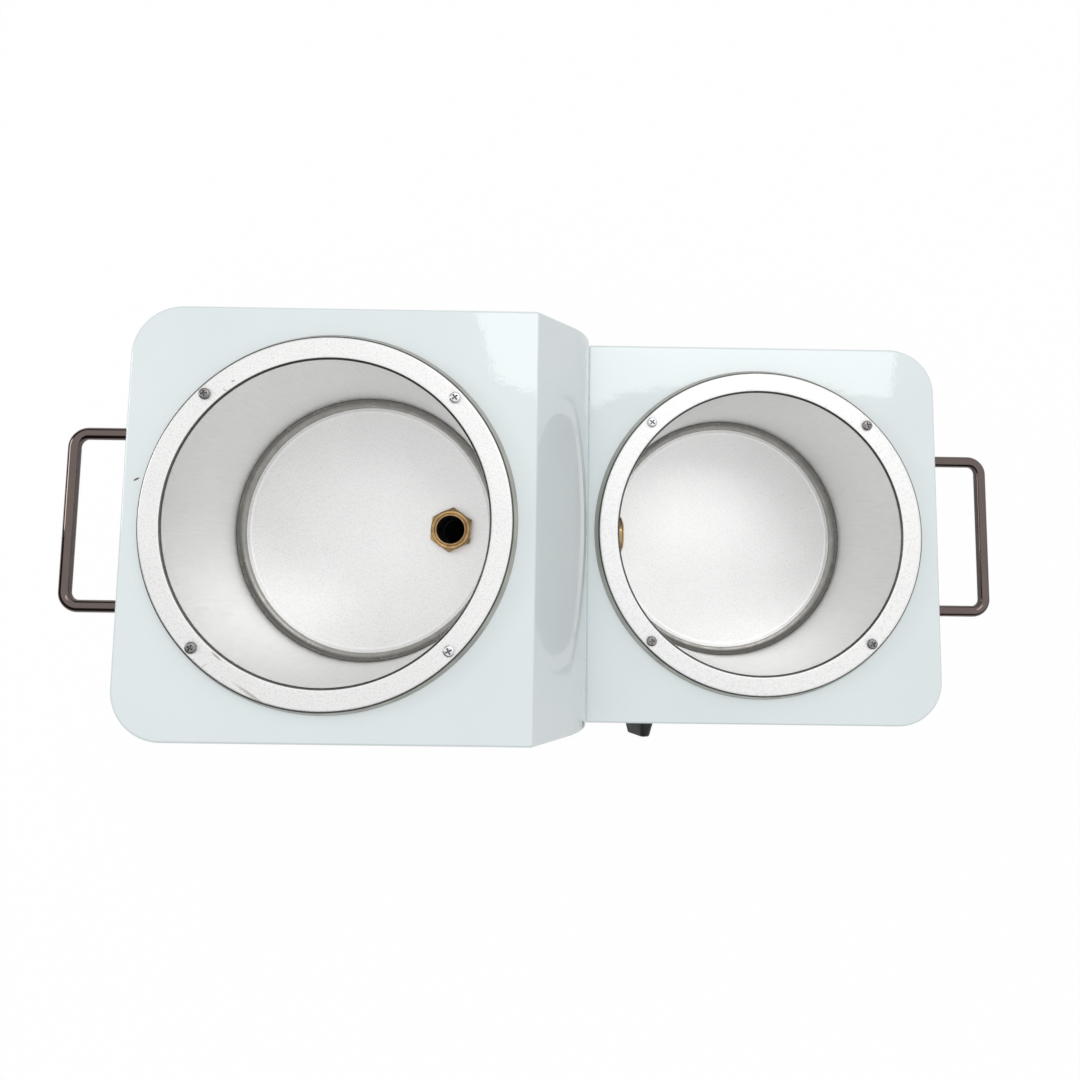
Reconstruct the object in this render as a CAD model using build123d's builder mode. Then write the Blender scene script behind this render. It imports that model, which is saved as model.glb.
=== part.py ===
from build123d import *
import math
import os

# Double wax warmer: two spun pots in a stepped sheet case, joined by a drain and a valve.
# Millimetres. X runs along the case, Y to the back, Z up. The origin is on the floor, under the
# middle of the whole warmer.

# Case: its length and depth are what the pots and controls need, with this room left
deck_margin = 10.75
riser_run = 36
riser_margin = 5.5
end_margin = 12
panel_room = 20.8
deck_step = 85
riser_lean = 33.5
riser_bend_r = 78
corner_r = 32
fold_r = 2
sheet = 1.2
flange_width = 15
window_margin = 16

# Base and feet
foot_height = 12
foot_r = 15
foot_inset = 38
foot_recess_r = 5.5
foot_recess_depth = 7
base_sheet = 1.5
base_inset = 1
vent_len = 60
vent_width = 4
vent_pitch = 12
vent_count = 7

# Pots
pot_r = 100
pot_depth = 140
pot_wall = 1.5
pot_floor_r = 6.3
rim_rise = 7.5
rim_width = 14.5
rim_inner_r = 3
rim_outer_r = 2
skirt_flare = 3
rim_screw_out = 9.2
rim_dimple = 0.4
pot_air_gap = 22.5
pot_hole_gap = 2.5
ring_width = 7

# Drain, valve and transfer pipe
drain_offset = 63.25
drain_turn = 25.5
inlet_rise = 26
thread_r = 13.2
bore_r = 10.5
head_af = 30
head_h = 9.5
head_lip_r = 11.6
head_lip_h = 0.8
washer_t = 1.5
saddle_t = 2.5
lock_nut_af = 36
lock_nut_h = 8
spigot_len = 14
elbow_reach = 32
elbow_tube_r = 15
elbow_socket_r = 17.5
elbow_bend_r = 22
valve_r = 20
valve_bore_r = 10
ball_r = 14.5
seat_len = 6
valve_wall = 5
cap_len = 14
cap_thread = 1.4
boss_r = 9
boss_reach = 30
gland_h = 8
gland_af = 17
stem_r = 4
tongue_t = 4.8
tongue_depth = 3.2
pipe_wall = 2.2
coupling_r = 17
coupling_gap = 2.2

# Valve lever
lever_len = 46
lever_width = 12
lever_t = 3
lever_stand = 5
lever_hub_r = 9
lever_washer_t = 0.8
square = 5.6
grip_wall = 2.5
grip_len = 30
bush_wall = 3
bush_flange = 3
bush_flange_t = 1.5
bush_in = 6

# Front controls
lever_room = 36.6
knob_z = 95
switch_z = 138
lamp_shift = 30
knob_reach = 21.5
knob_skirt_r = 20
knob_skirt_h = 6
knob_gap = 0.8
knob_turn = 25
grip_bar_len = 36
grip_bar_top = 24
grip_bar_base = 13
grip_bar_tip = 8
spindle_r = 3
spindle_flat = 1.5
spindle_out = 14
spindle_in = 12
thermostat_w = 44
thermostat_h = 34
thermostat_d = 26
thermostat_screw_x = 14
thermostat_boss_r = 4
thermostat_boss_out = 6
thermostat_boss_up = 8
rocker_w = 13
rocker_h = 19.2
rocker_frame_lip = 1.8
rocker_frame_t = 2
rocker_depth = 20
rocker_tilt = 9
rocker_wall = 1.2
rocker_top = 4.6
rocker_fall = 2.2
rocker_under = 3.5
pivot_r = 1.2
lamp_r = 5
lamp_flange_r = 6.5
lamp_depth = 22
lamp_blade_x = 2
lamp_blade_w = 2.8
lamp_blade_len = 6

# Heating
band_t = 2.5
band_h = 50
band_gap = 8
band_ear = 14
band_ear_t = 1.5
heater_block_w = 9
heater_block_len = 14
heater_block_out = 3
heater_block_along = -24
heater_block_turn = -13
heater_tail_pitch = 7
upper_band_rise = 20
jacket_t = 10
jacket_slot = 76
jacket_over = 12
gap_angle = 35
bulb_r = 3
bulb_len = 60
capillary_r = 1
cutout_r = 8
cutout_h = 10
cutout_shift = 25
cutout_back = 35
cutout_pin = 6
cutout_pin_y = 4
cutout_plate_w = 28
cutout_plate_d = 14
cutout_plate_t = 1
bulb_y = -50
bulb_start = 38
clip_t = 0.8
clip_w = 22
clip_mouth = 4.6

# Handles
handle_span = 110
handle_reach = 41
handle_rod_r = 4
handle_bend_r = 9
handle_drop = 20
handle_tap = 12

# Rear appliance inlet
inlet_x = -66
inlet_z = 62
inlet_flange_w = 50
inlet_flange_h = 24
inlet_flange_t = 3
inlet_screw_x = 20
inlet_body_w = 28
inlet_body_h = 20
inlet_body_d = 24
socket_w = 24
socket_h = 16
socket_d = 18
pin_w = 2
pin_h = 4
pin_len = 14

# Terminal block, earth stud, blades and wires
block_shift = 20
block_back = 70
block_w = 60
block_h = 18
block_d = 20
block_foot = 12
block_screw_in = 5
pole_count = 4
pole_pitch = 12
pole_z = 8
earth_shift = 28
earth_back = 42
lug_t = 1.5
lug_r = 4.5
lug_tongue = 6
blade_w = 6.3
blade_t = 0.8
blade_len = 8
blade_x = 12
blade_drop = 13
switch_blade_len = 7
switch_blade_z = 5
switch_blade_w = 4.8
wire_r = 1.3
wire_bend_r = 8
wire_drop = 14
wire_in = 4

# Fasteners and clearances
m4_short_len = 10
m4_long_len = 16
m4_r = 1.95
m4_hole_r = 2.2
m4_head_r = 3.6
m4_head_h = 2.4
m4_nut_af = 7
m4_nut_h = 3.2
m5_r = 2.4
m5_head_r = 4.6
m5_head_h = 3
run_gap = 0.05
seat_gap = 0.1
stem_gap = 0.15

# Sizes and places worked out from those above
pot_out_r = pot_r + pot_wall
rim_out_r = pot_r + rim_width
skirt_r = rim_out_r + skirt_flare
rim_screw_r = pot_r + rim_screw_out
band_r = pot_out_r + seat_gap
jacket_r = band_r + band_t + seat_gap
upper_len = 2 * (skirt_r + deck_margin)
lower_len = riser_margin + 2 * skirt_r + end_margin
case_depth = 2 * (jacket_r + jacket_t + panel_room)
case_len = upper_len + riser_run + lower_len
left_x = -case_len / 2
right_x = case_len / 2
fold_x = left_x + upper_len
foot_x = fold_x + riser_run
case_y = (knob_reach - inlet_flange_t - m4_head_h) / 2
front_y = case_y - case_depth / 2
back_y = case_y + case_depth / 2
base_top = foot_height + base_sheet
lower_under = base_top + pot_air_gap
lower_floor = lower_under + pot_wall
lower_rim = lower_floor + pot_depth
lower_deck = lower_rim - rim_rise
upper_deck = lower_deck + deck_step
upper_rim = upper_deck + rim_rise
upper_floor = upper_rim - pot_depth
upper_under = upper_floor - pot_wall
upper_x = left_x + upper_len / 2
lower_x = foot_x + riser_margin + skirt_r
drain_x = upper_x + drain_offset
valve_start = drain_x + elbow_reach
valve_x = valve_start + valve_wall + ball_r + seat_gap
control_x = lever_room - valve_x
line_z = lower_floor + inlet_rise
pots = {"upper": (upper_x, upper_deck), "lower": (lower_x, lower_deck)}

os.makedirs("parts", exist_ok=True)


def keep(builder, label):
    builder.part.label = label
    export_step(builder.part, f"parts/{label}.step")


def front_plane(x, z, turn=0):
    angle = math.radians(turn)
    return Plane(
        origin=(x, front_y, z),
        x_dir=(math.cos(angle), 0, -math.sin(angle)),
        z_dir=(0, -1, 0),
    )


def back_plane(x, z):
    return Plane(origin=(x, back_y, z), x_dir=(-1, 0, 0), z_dir=(0, 1, 0))


def line_plane(x):
    return Plane(origin=(x, case_y, line_z), x_dir=(0, 1, 0), z_dir=(1, 0, 0))


def side_plane(x, z=0):
    return Plane(origin=(x, case_y, z), x_dir=(1, 0, 0), z_dir=(0, -1, 0))


def level(x, z):
    return Plane(origin=(x, case_y, z), x_dir=(1, 0, 0), z_dir=(0, 0, 1))


def pan_screw(shank_r, length, head_r, head_h):
    # Head up, shank down from the local origin, with a cross recess
    slot = head_r * 0.32
    with BuildPart() as screw:
        with BuildSketch():
            Circle(head_r)
        extrude(amount=head_h)
        fillet(screw.edges().group_by(Axis.Z)[-1], head_h * 0.6)
        with BuildSketch(Plane.XY.offset(head_h)):
            Rectangle(head_r * 1.1, slot)
            Rectangle(slot, head_r * 1.1)
        extrude(amount=-head_h * 0.6, mode=Mode.SUBTRACT)
        with BuildSketch():
            Circle(shank_r)
        extrude(amount=-length)
        chamfer(screw.edges().group_by(Axis.Z)[0], shank_r * 0.3)
    return screw.part


def hex_nut(af, height, hole_r):
    # Stands on the local XY plane, with both ends chamfered to a circle
    with BuildPart() as nut:
        with BuildSketch():
            RegularPolygon(af / 2, 6, major_radius=False)
        extrude(amount=height)
        with BuildSketch(Plane.XZ) as corner:
            with BuildLine():
                Polyline(
                    (0, -1),
                    (af * 0.48, -1),
                    (af * 0.62, height * 0.22),
                    (af * 0.62, height * 0.78),
                    (af * 0.48, height + 1),
                    (0, height + 1),
                    close=True,
                )
            make_face()
        revolve(axis=Axis.Z, mode=Mode.INTERSECT)
        Hole(hole_r)
    return nut.part


def group(label, piece, places):
    with BuildPart() as pieces:
        with Locations(*places):
            add(piece)
    keep(pieces, label)


# Case shells
riser_turn = math.radians(riser_lean)
arc_rise = riser_bend_r * math.sin(riser_turn)
arc_run = riser_bend_r * (1 - math.cos(riser_turn))
slope_drop = (riser_run - arc_run) / math.tan(riser_turn)
slope_end = (foot_x - arc_run, upper_deck - slope_drop)
arc_end = (foot_x, upper_deck - slope_drop - arc_rise)
window_low = base_top + window_margin
window_high = lower_deck - window_margin
window_w = case_depth - 2 * window_margin


def upper_block(inset):
    half = case_depth / 2 - inset
    with BuildPart() as block:
        with BuildSketch(Plane.XZ.offset(-case_y)):
            with BuildLine():
                Polyline(arc_end, (foot_x, base_top), (left_x, base_top), (left_x, upper_deck))
                Polyline((left_x, upper_deck), (fold_x, upper_deck), slope_end)
                TangentArc(slope_end, arc_end, tangent=(math.sin(riser_turn), -math.cos(riser_turn)))
            make_face()
            if inset:
                offset(amount=-inset, kind=Kind.INTERSECTION, mode=Mode.REPLACE)
        extrude(amount=half, both=True)
        uprights = block.edges().filter_by(Axis.Z)
        fillet(uprights.group_by(Axis.X)[0], corner_r - inset)
        top = block.faces().sort_by(Axis.Z)[-1].edges()
        side = block.edges().filter_by(
            lambda e: abs(abs(e.center().Y - case_y) - half) < 0.01
            and e.center().X > fold_x + 0.1 - inset
            and e.center().Z > base_top + inset + 0.1
            and abs(e.tangent_at(0.5).Y) < 0.01
        )
        side = side.filter_by(lambda e: e.length > 1)
        fillet(ShapeList(set(top) | set(side)), fold_r - inset)
    return block.part


def lower_block(inset):
    with BuildPart() as block:
        with BuildSketch(level((foot_x + right_x) / 2, base_top + inset)):
            Rectangle(lower_len - 2 * inset, case_depth - 2 * inset)
        extrude(amount=lower_deck - base_top - 2 * inset)
        uprights = block.edges().filter_by(Axis.Z)
        fillet(uprights.group_by(Axis.X)[-1], corner_r - inset)
        rest = block.edges().filter_by(lambda e: e.center().Z > base_top + inset + 0.1)
        seam = rest.filter_by(Axis.Z).group_by(Axis.X)[0]
        top = block.faces().sort_by(Axis.Z)[-1].edges()
        fillet(ShapeList(set(top) | set(seam)), fold_r - inset)
    return block.part


def bottom_opening(x0, x1):
    with BuildPart() as hole:
        with BuildSketch(level((x0 + x1) / 2, base_top - 1)):
            Rectangle(x1 - x0 - 2 * flange_width, case_depth - 2 * flange_width)
        extrude(amount=sheet + 2)
        fillet(hole.edges().filter_by(Axis.Z), corner_r - flange_width)
    return hole.part


def joint_window():
    with BuildPart() as hole:
        with BuildSketch(line_plane(foot_x).offset(-2 * sheet)):
            with Locations((0, (window_low + window_high) / 2 - line_z)):
                Rectangle(window_w, window_high - window_low)
        extrude(amount=4 * sheet)
        fillet(hole.edges().filter_by(Axis.X), flange_width / 2)
    return hole.part


def panel_hole(plane, r):
    with BuildPart() as hole:
        with BuildSketch(plane.offset(1)):
            Circle(r)
        extrude(amount=-sheet - 2)
    return hole.part


def panel_slot(plane, w, h):
    with BuildPart() as hole:
        with BuildSketch(plane.offset(1)):
            Rectangle(w, h)
        extrude(amount=-sheet - 2)
    return hole.part


def spots(x, z, shifts):
    return [front_plane(x + dx, z + dz) for dx, dz in shifts]


joint_rows = [
    (y, z)
    for y in (-case_depth / 2 + window_margin / 2, case_depth / 2 - window_margin / 2)
    for z in (base_top + window_margin * 2, line_z + 30)
]
joint_rows += [(y, lower_deck - window_margin / 2) for y in (-window_w / 4, window_w / 4)]
joint_planes = [
    Plane(origin=(foot_x, case_y + y, z), x_dir=(0, -1, 0), z_dir=(-1, 0, 0))
    for y, z in joint_rows
]
rim_places = [(math.cos(a), math.sin(a)) for a in (math.radians(45 + 90 * i) for i in range(4))]


def deck_cuts(x, deck):
    with BuildPart() as cuts:
        with BuildSketch(level(x, deck + 1)):
            Circle(pot_out_r + pot_hole_gap)
            with Locations(*[(rim_screw_r * c, rim_screw_r * s) for c, s in rim_places]):
                Circle(m4_hole_r)
        extrude(amount=-sheet - 2)
    return cuts.part


def front_cuts(x, side):
    lamp = front_plane(x + side * lamp_shift, switch_z)
    screws = spots(x, knob_z, [(-thermostat_screw_x, 0), (thermostat_screw_x, 0)])
    cuts = [panel_hole(front_plane(x, knob_z), spindle_r + 1.5)]
    cuts += [panel_hole(plane, m4_hole_r) for plane in screws]
    cuts += [panel_hole(lamp, lamp_r + seat_gap)]
    cuts += [panel_slot(front_plane(x, switch_z), rocker_w + 2 * seat_gap, rocker_h + 2 * seat_gap)]
    return cuts


handle_y = (-handle_span / 2, handle_span / 2)
left_handle_z = upper_deck - handle_drop
right_handle_z = lower_deck - handle_drop
left_wall = [
    Plane(origin=(left_x, case_y + y, left_handle_z), x_dir=(0, -1, 0), z_dir=(-1, 0, 0))
    for y in handle_y
]
right_wall = [
    Plane(origin=(right_x, case_y + y, right_handle_z), x_dir=(0, 1, 0), z_dir=(1, 0, 0))
    for y in handle_y
]
inlet_screws = [back_plane(inlet_x + dx, inlet_z) for dx in (-inlet_screw_x, inlet_screw_x)]
stem_bush_r = stem_r + bush_wall

with BuildPart() as upper_case:
    add(upper_block(0))
    add(upper_block(sheet), mode=Mode.SUBTRACT)
    add(bottom_opening(left_x, foot_x), mode=Mode.SUBTRACT)
    add(joint_window(), mode=Mode.SUBTRACT)
    add(deck_cuts(upper_x, upper_deck), mode=Mode.SUBTRACT)
    add(front_cuts(-control_x, -1), mode=Mode.SUBTRACT)
    add([panel_hole(p.offset(sheet), m4_hole_r) for p in joint_planes], mode=Mode.SUBTRACT)
    add([panel_hole(p, m5_r + 0.2) for p in left_wall], mode=Mode.SUBTRACT)
    add(panel_hole(front_plane(valve_x, line_z), stem_bush_r + seat_gap), mode=Mode.SUBTRACT)
    rear = back_plane(inlet_x, inlet_z)
    inlet_slot = panel_slot(rear, inlet_body_w + 2 * seat_gap, inlet_body_h + 2 * seat_gap)
    add(inlet_slot, mode=Mode.SUBTRACT)
    add([panel_hole(p, m4_r) for p in inlet_screws], mode=Mode.SUBTRACT)
keep(upper_case, "upper_case")

with BuildPart() as lower_case:
    add(lower_block(0))
    add(lower_block(sheet), mode=Mode.SUBTRACT)
    add(bottom_opening(foot_x, right_x), mode=Mode.SUBTRACT)
    add(joint_window(), mode=Mode.SUBTRACT)
    add(deck_cuts(lower_x, lower_deck), mode=Mode.SUBTRACT)
    add(front_cuts(control_x, 1), mode=Mode.SUBTRACT)
    add([panel_hole(p, m4_hole_r) for p in joint_planes], mode=Mode.SUBTRACT)
    add([panel_hole(p, m5_r + 0.2) for p in right_wall], mode=Mode.SUBTRACT)
keep(lower_case, "lower_case")

# Base plate, feet and their fasteners
foot_places = [
    (sx * (case_len / 2 - foot_inset), sy * (case_depth / 2 - foot_inset))
    for sx in (-1, 1)
    for sy in (-1, 1)
]
flange_mid = flange_width / 2 + sheet / 2
base_xs = [left_x + upper_len * share for share in (0.25, 0.55, 0.85)]
base_xs += [foot_x + lower_len * share for share in (0.25, 0.75)]
base_places = [(x, sy * (case_depth / 2 - flange_mid)) for x in base_xs for sy in (-1, 1)]
base_places += [(left_x + flange_mid, 0), (right_x - flange_mid, 0)]
block_x = inlet_x + block_shift
block_y = case_depth / 2 - block_back
block_ends = [(block_x + way * (block_w / 2 - block_screw_in), block_y) for way in (-1, 1)]
earth_place = (inlet_x - earth_shift, case_depth / 2 - earth_back)

with BuildPart() as base_plate:
    with BuildSketch(level(0, foot_height)):
        Rectangle(case_len - 2 * base_inset, case_depth - 2 * base_inset)
    extrude(amount=base_sheet)
    fillet(base_plate.edges().filter_by(Axis.Z), corner_r - base_inset)
    with BuildSketch(level(0, foot_height)):
        for x in (upper_x, lower_x):
            with Locations((x, 0)):
                with GridLocations(vent_pitch, 0, vent_count, 1):
                    SlotOverall(vent_len, vent_width, rotation=90)
        with Locations(*foot_places, *base_places, earth_place):
            Circle(m4_r)
        with Locations(*block_ends):
            Circle(m4_r)
    extrude(amount=base_sheet, mode=Mode.SUBTRACT)
keep(base_plate, "base_plate")

with BuildPart() as flange_drill:
    with BuildSketch(level(0, base_top)):
        with Locations(*base_places):
            Circle(m4_r)
    extrude(amount=sheet)
for shell, label in ((upper_case, "upper_case"), (lower_case, "lower_case")):
    with shell:
        add(flange_drill.part, mode=Mode.SUBTRACT)
    keep(shell, label)

with BuildPart() as rubber_feet:
    with BuildSketch(level(0, foot_height)):
        with Locations(*foot_places):
            Circle(foot_r)
    extrude(amount=-foot_height, taper=6)
    fillet(rubber_feet.edges().group_by(Axis.Z)[0], 1)
    with BuildSketch(level(0, 0)):
        with Locations(*foot_places):
            Circle(foot_recess_r)
    extrude(amount=foot_recess_depth, mode=Mode.SUBTRACT)
    with BuildSketch(level(0, 0)):
        with Locations(*foot_places):
            Circle(m4_hole_r)
    extrude(amount=foot_height, mode=Mode.SUBTRACT)
keep(rubber_feet, "rubber_feet")


def below(places, z):
    # Screws driven upwards from a face at height z
    return [
        Plane(origin=(x, case_y + y, z), x_dir=(1, 0, 0), z_dir=(0, 0, -1)) for x, y in places
    ]


def above(places, z):
    return [Plane(origin=(x, case_y + y, z)) for x, y in places]


foot_screw_len = foot_height - foot_recess_depth + base_sheet + m4_nut_h + 1.5
m4_foot = pan_screw(m4_r, foot_screw_len, m4_head_r, m4_head_h)
m4_short = pan_screw(m4_r, m4_short_len, m4_head_r, m4_head_h)
m4_long = pan_screw(m4_r, m4_long_len, m4_head_r, m4_head_h)
m4_nut = hex_nut(m4_nut_af, m4_nut_h, m4_r + run_gap)
joint_nut_planes = [
    Plane(origin=p.origin + Vector(sheet, 0, 0), x_dir=(0, 1, 0), z_dir=(1, 0, 0))
    for p in joint_planes
]
nut_planes = above(foot_places, base_top) + joint_nut_planes
long_screw_planes = []
group("foot_screws", m4_foot, below(foot_places, foot_recess_depth))
base_screw_planes = below(base_places, foot_height)
group("case_screws", m4_short, base_screw_planes + [p.offset(sheet) for p in joint_planes])

# Pots, their insulating rings and rim fasteners
flare_turn = math.atan2(skirt_flare, rim_rise)
skirt_wall = pot_wall / math.cos(flare_turn)
rim_under_r = rim_out_r + pot_wall * math.tan(flare_turn) - skirt_wall


def pot_profile(x, rim, deck):
    floor = rim - pot_depth
    top_bends = [pot_floor_r, rim_inner_r, rim_outer_r]
    top = [(0, floor), (pot_r, floor), (pot_r, rim), (rim_out_r, rim), (skirt_r, deck)]
    under = [
        (0, floor - pot_wall),
        (pot_out_r, floor - pot_wall),
        (pot_out_r, rim - pot_wall),
        (rim_under_r, rim - pot_wall),
        (skirt_r - skirt_wall, deck),
    ]
    under_bends = [pot_floor_r + pot_wall, rim_inner_r - pot_wall, rim_outer_r - pot_wall]
    with BuildSketch(side_plane(x)) as profile:
        with BuildLine():
            FilletPolyline(*top, radius=top_bends)
            Line(top[-1], under[-1])
            FilletPolyline(*under, radius=under_bends)
            Line(under[0], top[0])
        make_face()
    return profile.sketch


def pot_body(x, rim, deck):
    with BuildPart() as pot:
        add(pot_profile(x, rim, deck))
        revolve(axis=Axis((x, case_y, 0), (0, 0, 1)))
        for c, s in rim_places:
            spot = Plane(origin=(x + rim_screw_r * c, case_y + rim_screw_r * s, rim))
            with BuildSketch(spot):
                Circle(m4_head_r + 2.4)
            extrude(amount=-rim_dimple, taper=75, mode=Mode.SUBTRACT)
            with BuildSketch(spot):
                Circle(m4_hole_r)
            extrude(amount=-rim_rise, mode=Mode.SUBTRACT)
    return pot.part


with BuildPart() as upper_pot:
    add(pot_body(upper_x, upper_rim, upper_deck))
    with BuildSketch(level(drain_x, upper_floor)):
        Circle(thread_r + seat_gap)
    extrude(amount=-pot_wall, mode=Mode.SUBTRACT)
keep(upper_pot, "upper_pot")

with BuildPart() as lower_pot:
    add(pot_body(lower_x, lower_rim, lower_deck))
    with BuildSketch(line_plane(lower_x - pot_r + 5)):
        Circle(thread_r + seat_gap)
    extrude(amount=-pot_wall - 10, mode=Mode.SUBTRACT)
keep(lower_pot, "lower_pot")

ring_mid_r = pot_out_r + pot_hole_gap + 0.5 + ring_width / 2
rim_screw_planes = []
for label, (x, deck) in pots.items():
    with BuildPart() as rim_ring:
        with BuildSketch(level(x, deck)):
            Circle(ring_mid_r + ring_width / 2)
            Circle(ring_mid_r - ring_width / 2, mode=Mode.SUBTRACT)
            with Locations(*[(rim_screw_r * c, rim_screw_r * s) for c, s in rim_places]):
                Circle(m4_hole_r, mode=Mode.SUBTRACT)
        extrude(amount=rim_rise - pot_wall)
    keep(rim_ring, f"{label}_rim_ring")
    spots_here = [(x + rim_screw_r * c, rim_screw_r * s) for c, s in rim_places]
    rim_screw_planes += above(spots_here, deck + rim_rise - rim_dimple)
    nut_planes += below(spots_here, deck - sheet)
group("rim_screws", m4_long, rim_screw_planes)

# Drain fitting, its washers and lock nut
drain_base = upper_floor + washer_t
elbow_top = line_z + elbow_reach
wall_out_x = lower_x - pot_out_r
wall_in_x = lower_x - pot_r
inlet_base = wall_in_x + saddle_t
saddle_x = wall_out_x - saddle_t
hex_corner = head_af / 2 / math.cos(math.radians(30))


def hex_fitting(shank_len):
    # Hex head on the local XY plane, shank below it, bored through
    with BuildPart() as fitting:
        with BuildSketch():
            RegularPolygon(head_af / 2, 6, major_radius=False)
        extrude(amount=head_h)
        with BuildSketch(Plane.XZ):
            with BuildLine():
                Polyline((0, -1), (hex_corner + 1, -1), (hex_corner + 1, head_h * 0.45))
                dome = (head_lip_r + 1.5, head_h - 0.4)
                Spline((hex_corner + 1, head_h * 0.45), dome, (head_lip_r, head_h))
                Polyline((head_lip_r, head_h), (0, head_h), (0, -1))
            make_face()
        revolve(axis=Axis.Z, mode=Mode.INTERSECT)
        with BuildSketch(Plane.XY.offset(head_h)):
            Circle(head_lip_r - 0.2)
        extrude(amount=head_lip_h)
        fillet(fitting.edges().group_by(Axis.Z)[-1], head_lip_h * 0.5)
        with BuildSketch():
            Circle(thread_r)
        extrude(amount=-shank_len)
        chamfer(fitting.edges().group_by(Axis.Z)[0], 1)
        with BuildSketch(Plane.XY.offset(head_h + head_lip_h)):
            Circle(bore_r)
        extrude(amount=-shank_len - head_h - head_lip_h, mode=Mode.SUBTRACT)
    return fitting.part


def lone(label, piece, plane):
    group(label, piece, [plane])


def at(piece, plane):
    return piece.moved(plane.location)


def ring_part(outer_r, inner_r, height):
    with BuildPart() as ring:
        with BuildSketch():
            Circle(outer_r)
            Circle(inner_r, mode=Mode.SUBTRACT)
        extrude(amount=height)
    return ring.part


drain_plane = level(drain_x, drain_base).rotated((0, 0, drain_turn))
lone("drain_fitting", hex_fitting(drain_base - elbow_top + spigot_len), drain_plane)
drain_washer = ring_part(head_af / 2 - 0.5, thread_r + seat_gap, washer_t)
under_washer = ring_part(lock_nut_af / 2, thread_r + seat_gap, washer_t)
with BuildPart() as drain_washers:
    add(at(drain_washer, level(drain_x, upper_floor)))
    add(at(under_washer, level(drain_x, upper_under - washer_t)))
keep(drain_washers, "drain_washers")
lock_nut = hex_nut(lock_nut_af, lock_nut_h, thread_r + run_gap)
lock_nut_planes = [
    level(drain_x, upper_under - washer_t - lock_nut_h),
    line_plane(saddle_x - lock_nut_h),
]
group("lock_nuts", lock_nut, lock_nut_planes)

with BuildPart() as drain_elbow:
    up_end = Plane(origin=(drain_x, case_y, elbow_top))
    with BuildLine(side_plane(drain_x, line_z)) as bend:
        FilletPolyline((0, elbow_reach), (0, 0), (elbow_reach, 0), radius=elbow_bend_r)
    with BuildSketch(up_end):
        Circle(elbow_tube_r)
    sweep(path=bend.line)
    for end in (up_end, line_plane(valve_start)):
        with BuildSketch(end):
            Circle(elbow_socket_r)
        extrude(amount=-spigot_len - 1)
    with BuildSketch(up_end):
        Circle(bore_r)
    sweep(path=bend.line, mode=Mode.SUBTRACT)
    for end in (up_end, line_plane(valve_start)):
        with BuildSketch(end):
            Circle(thread_r + run_gap)
        extrude(amount=-spigot_len, mode=Mode.SUBTRACT)
keep(drain_elbow, "drain_elbow")

# Ball valve. Distances along it are from the face that meets the elbow.
ball_at = valve_x - valve_start
chamber_r = ball_r + 2 * seat_gap
body_end = ball_at + ball_r + seat_gap + cap_thread
cap_end = body_end + cap_len
stem_start = case_y - ball_r
stem_plane = front_plane(valve_x, line_z)


def turned(outline, axis_plane):
    # Revolves an outline of (along, radius) points about the line of the pipe
    with BuildPart() as turned_part:
        with BuildSketch(axis_plane):
            with BuildLine():
                Polyline(*outline, close=True)
            make_face()
        revolve(axis=Axis(axis_plane.origin, axis_plane.x_dir))
    return turned_part.part


line_side = side_plane(valve_start, line_z)

with BuildPart() as valve_body:
    outer = [
        (-spigot_len, 0),
        (-spigot_len, thread_r),
        (0, thread_r),
        (0, valve_r - 3),
        (3, valve_r - 3),
        (6, valve_r),
        (body_end, valve_r),
        (body_end, 0),
    ]
    add(turned(outer, line_side))
    with BuildSketch(side_plane(valve_x, line_z)):
        Circle(boss_r)
    extrude(amount=boss_reach)
    bore = [
        (-spigot_len, 0),
        (-spigot_len, valve_bore_r),
        (valve_wall, valve_bore_r),
        (valve_wall, chamber_r),
        (body_end, chamber_r),
        (body_end, 0),
    ]
    add(turned(bore, line_side), mode=Mode.SUBTRACT)
    with BuildSketch(side_plane(valve_x, line_z)):
        Circle(stem_r + stem_gap)
    extrude(amount=boss_reach, mode=Mode.SUBTRACT)
keep(valve_body, "valve_body")

with BuildPart() as valve_cap:
    cap_plane = line_plane(valve_start + body_end)
    with BuildSketch(cap_plane):
        RegularPolygon(valve_r - 1, 6, major_radius=False)
    extrude(amount=cap_len)
    with BuildSketch(cap_plane):
        Circle(chamber_r - run_gap)
    extrude(amount=-cap_thread)
    with BuildSketch(cap_plane.offset(-cap_thread)):
        Circle(valve_bore_r)
    extrude(amount=cap_len + cap_thread, mode=Mode.SUBTRACT)
    with BuildSketch(cap_plane.offset(cap_len)):
        Circle(thread_r + run_gap)
    extrude(amount=-cap_len + 3, mode=Mode.SUBTRACT)
keep(valve_cap, "valve_cap")

seat_curve = ball_r + run_gap
seat_inner = ball_at - math.sqrt(seat_curve**2 - valve_bore_r**2)
seat_edge = valve_wall + seat_len
seat_edge_r = math.sqrt(seat_curve**2 - (ball_at - seat_edge) ** 2)
with BuildPart() as valve_seats:
    with BuildSketch(line_side):
        with BuildLine():
            Polyline(
                (seat_inner, valve_bore_r),
                (valve_wall, valve_bore_r),
                (valve_wall, chamber_r - run_gap),
                (seat_edge, chamber_r - run_gap),
                (seat_edge, seat_edge_r),
            )
            RadiusArc((seat_edge, seat_edge_r), (seat_inner, valve_bore_r), -seat_curve)
        make_face()
    revolve(axis=Axis(line_side.origin, line_side.x_dir))
    mirror(about=line_plane(valve_x))
keep(valve_seats, "valve_seats")

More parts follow.
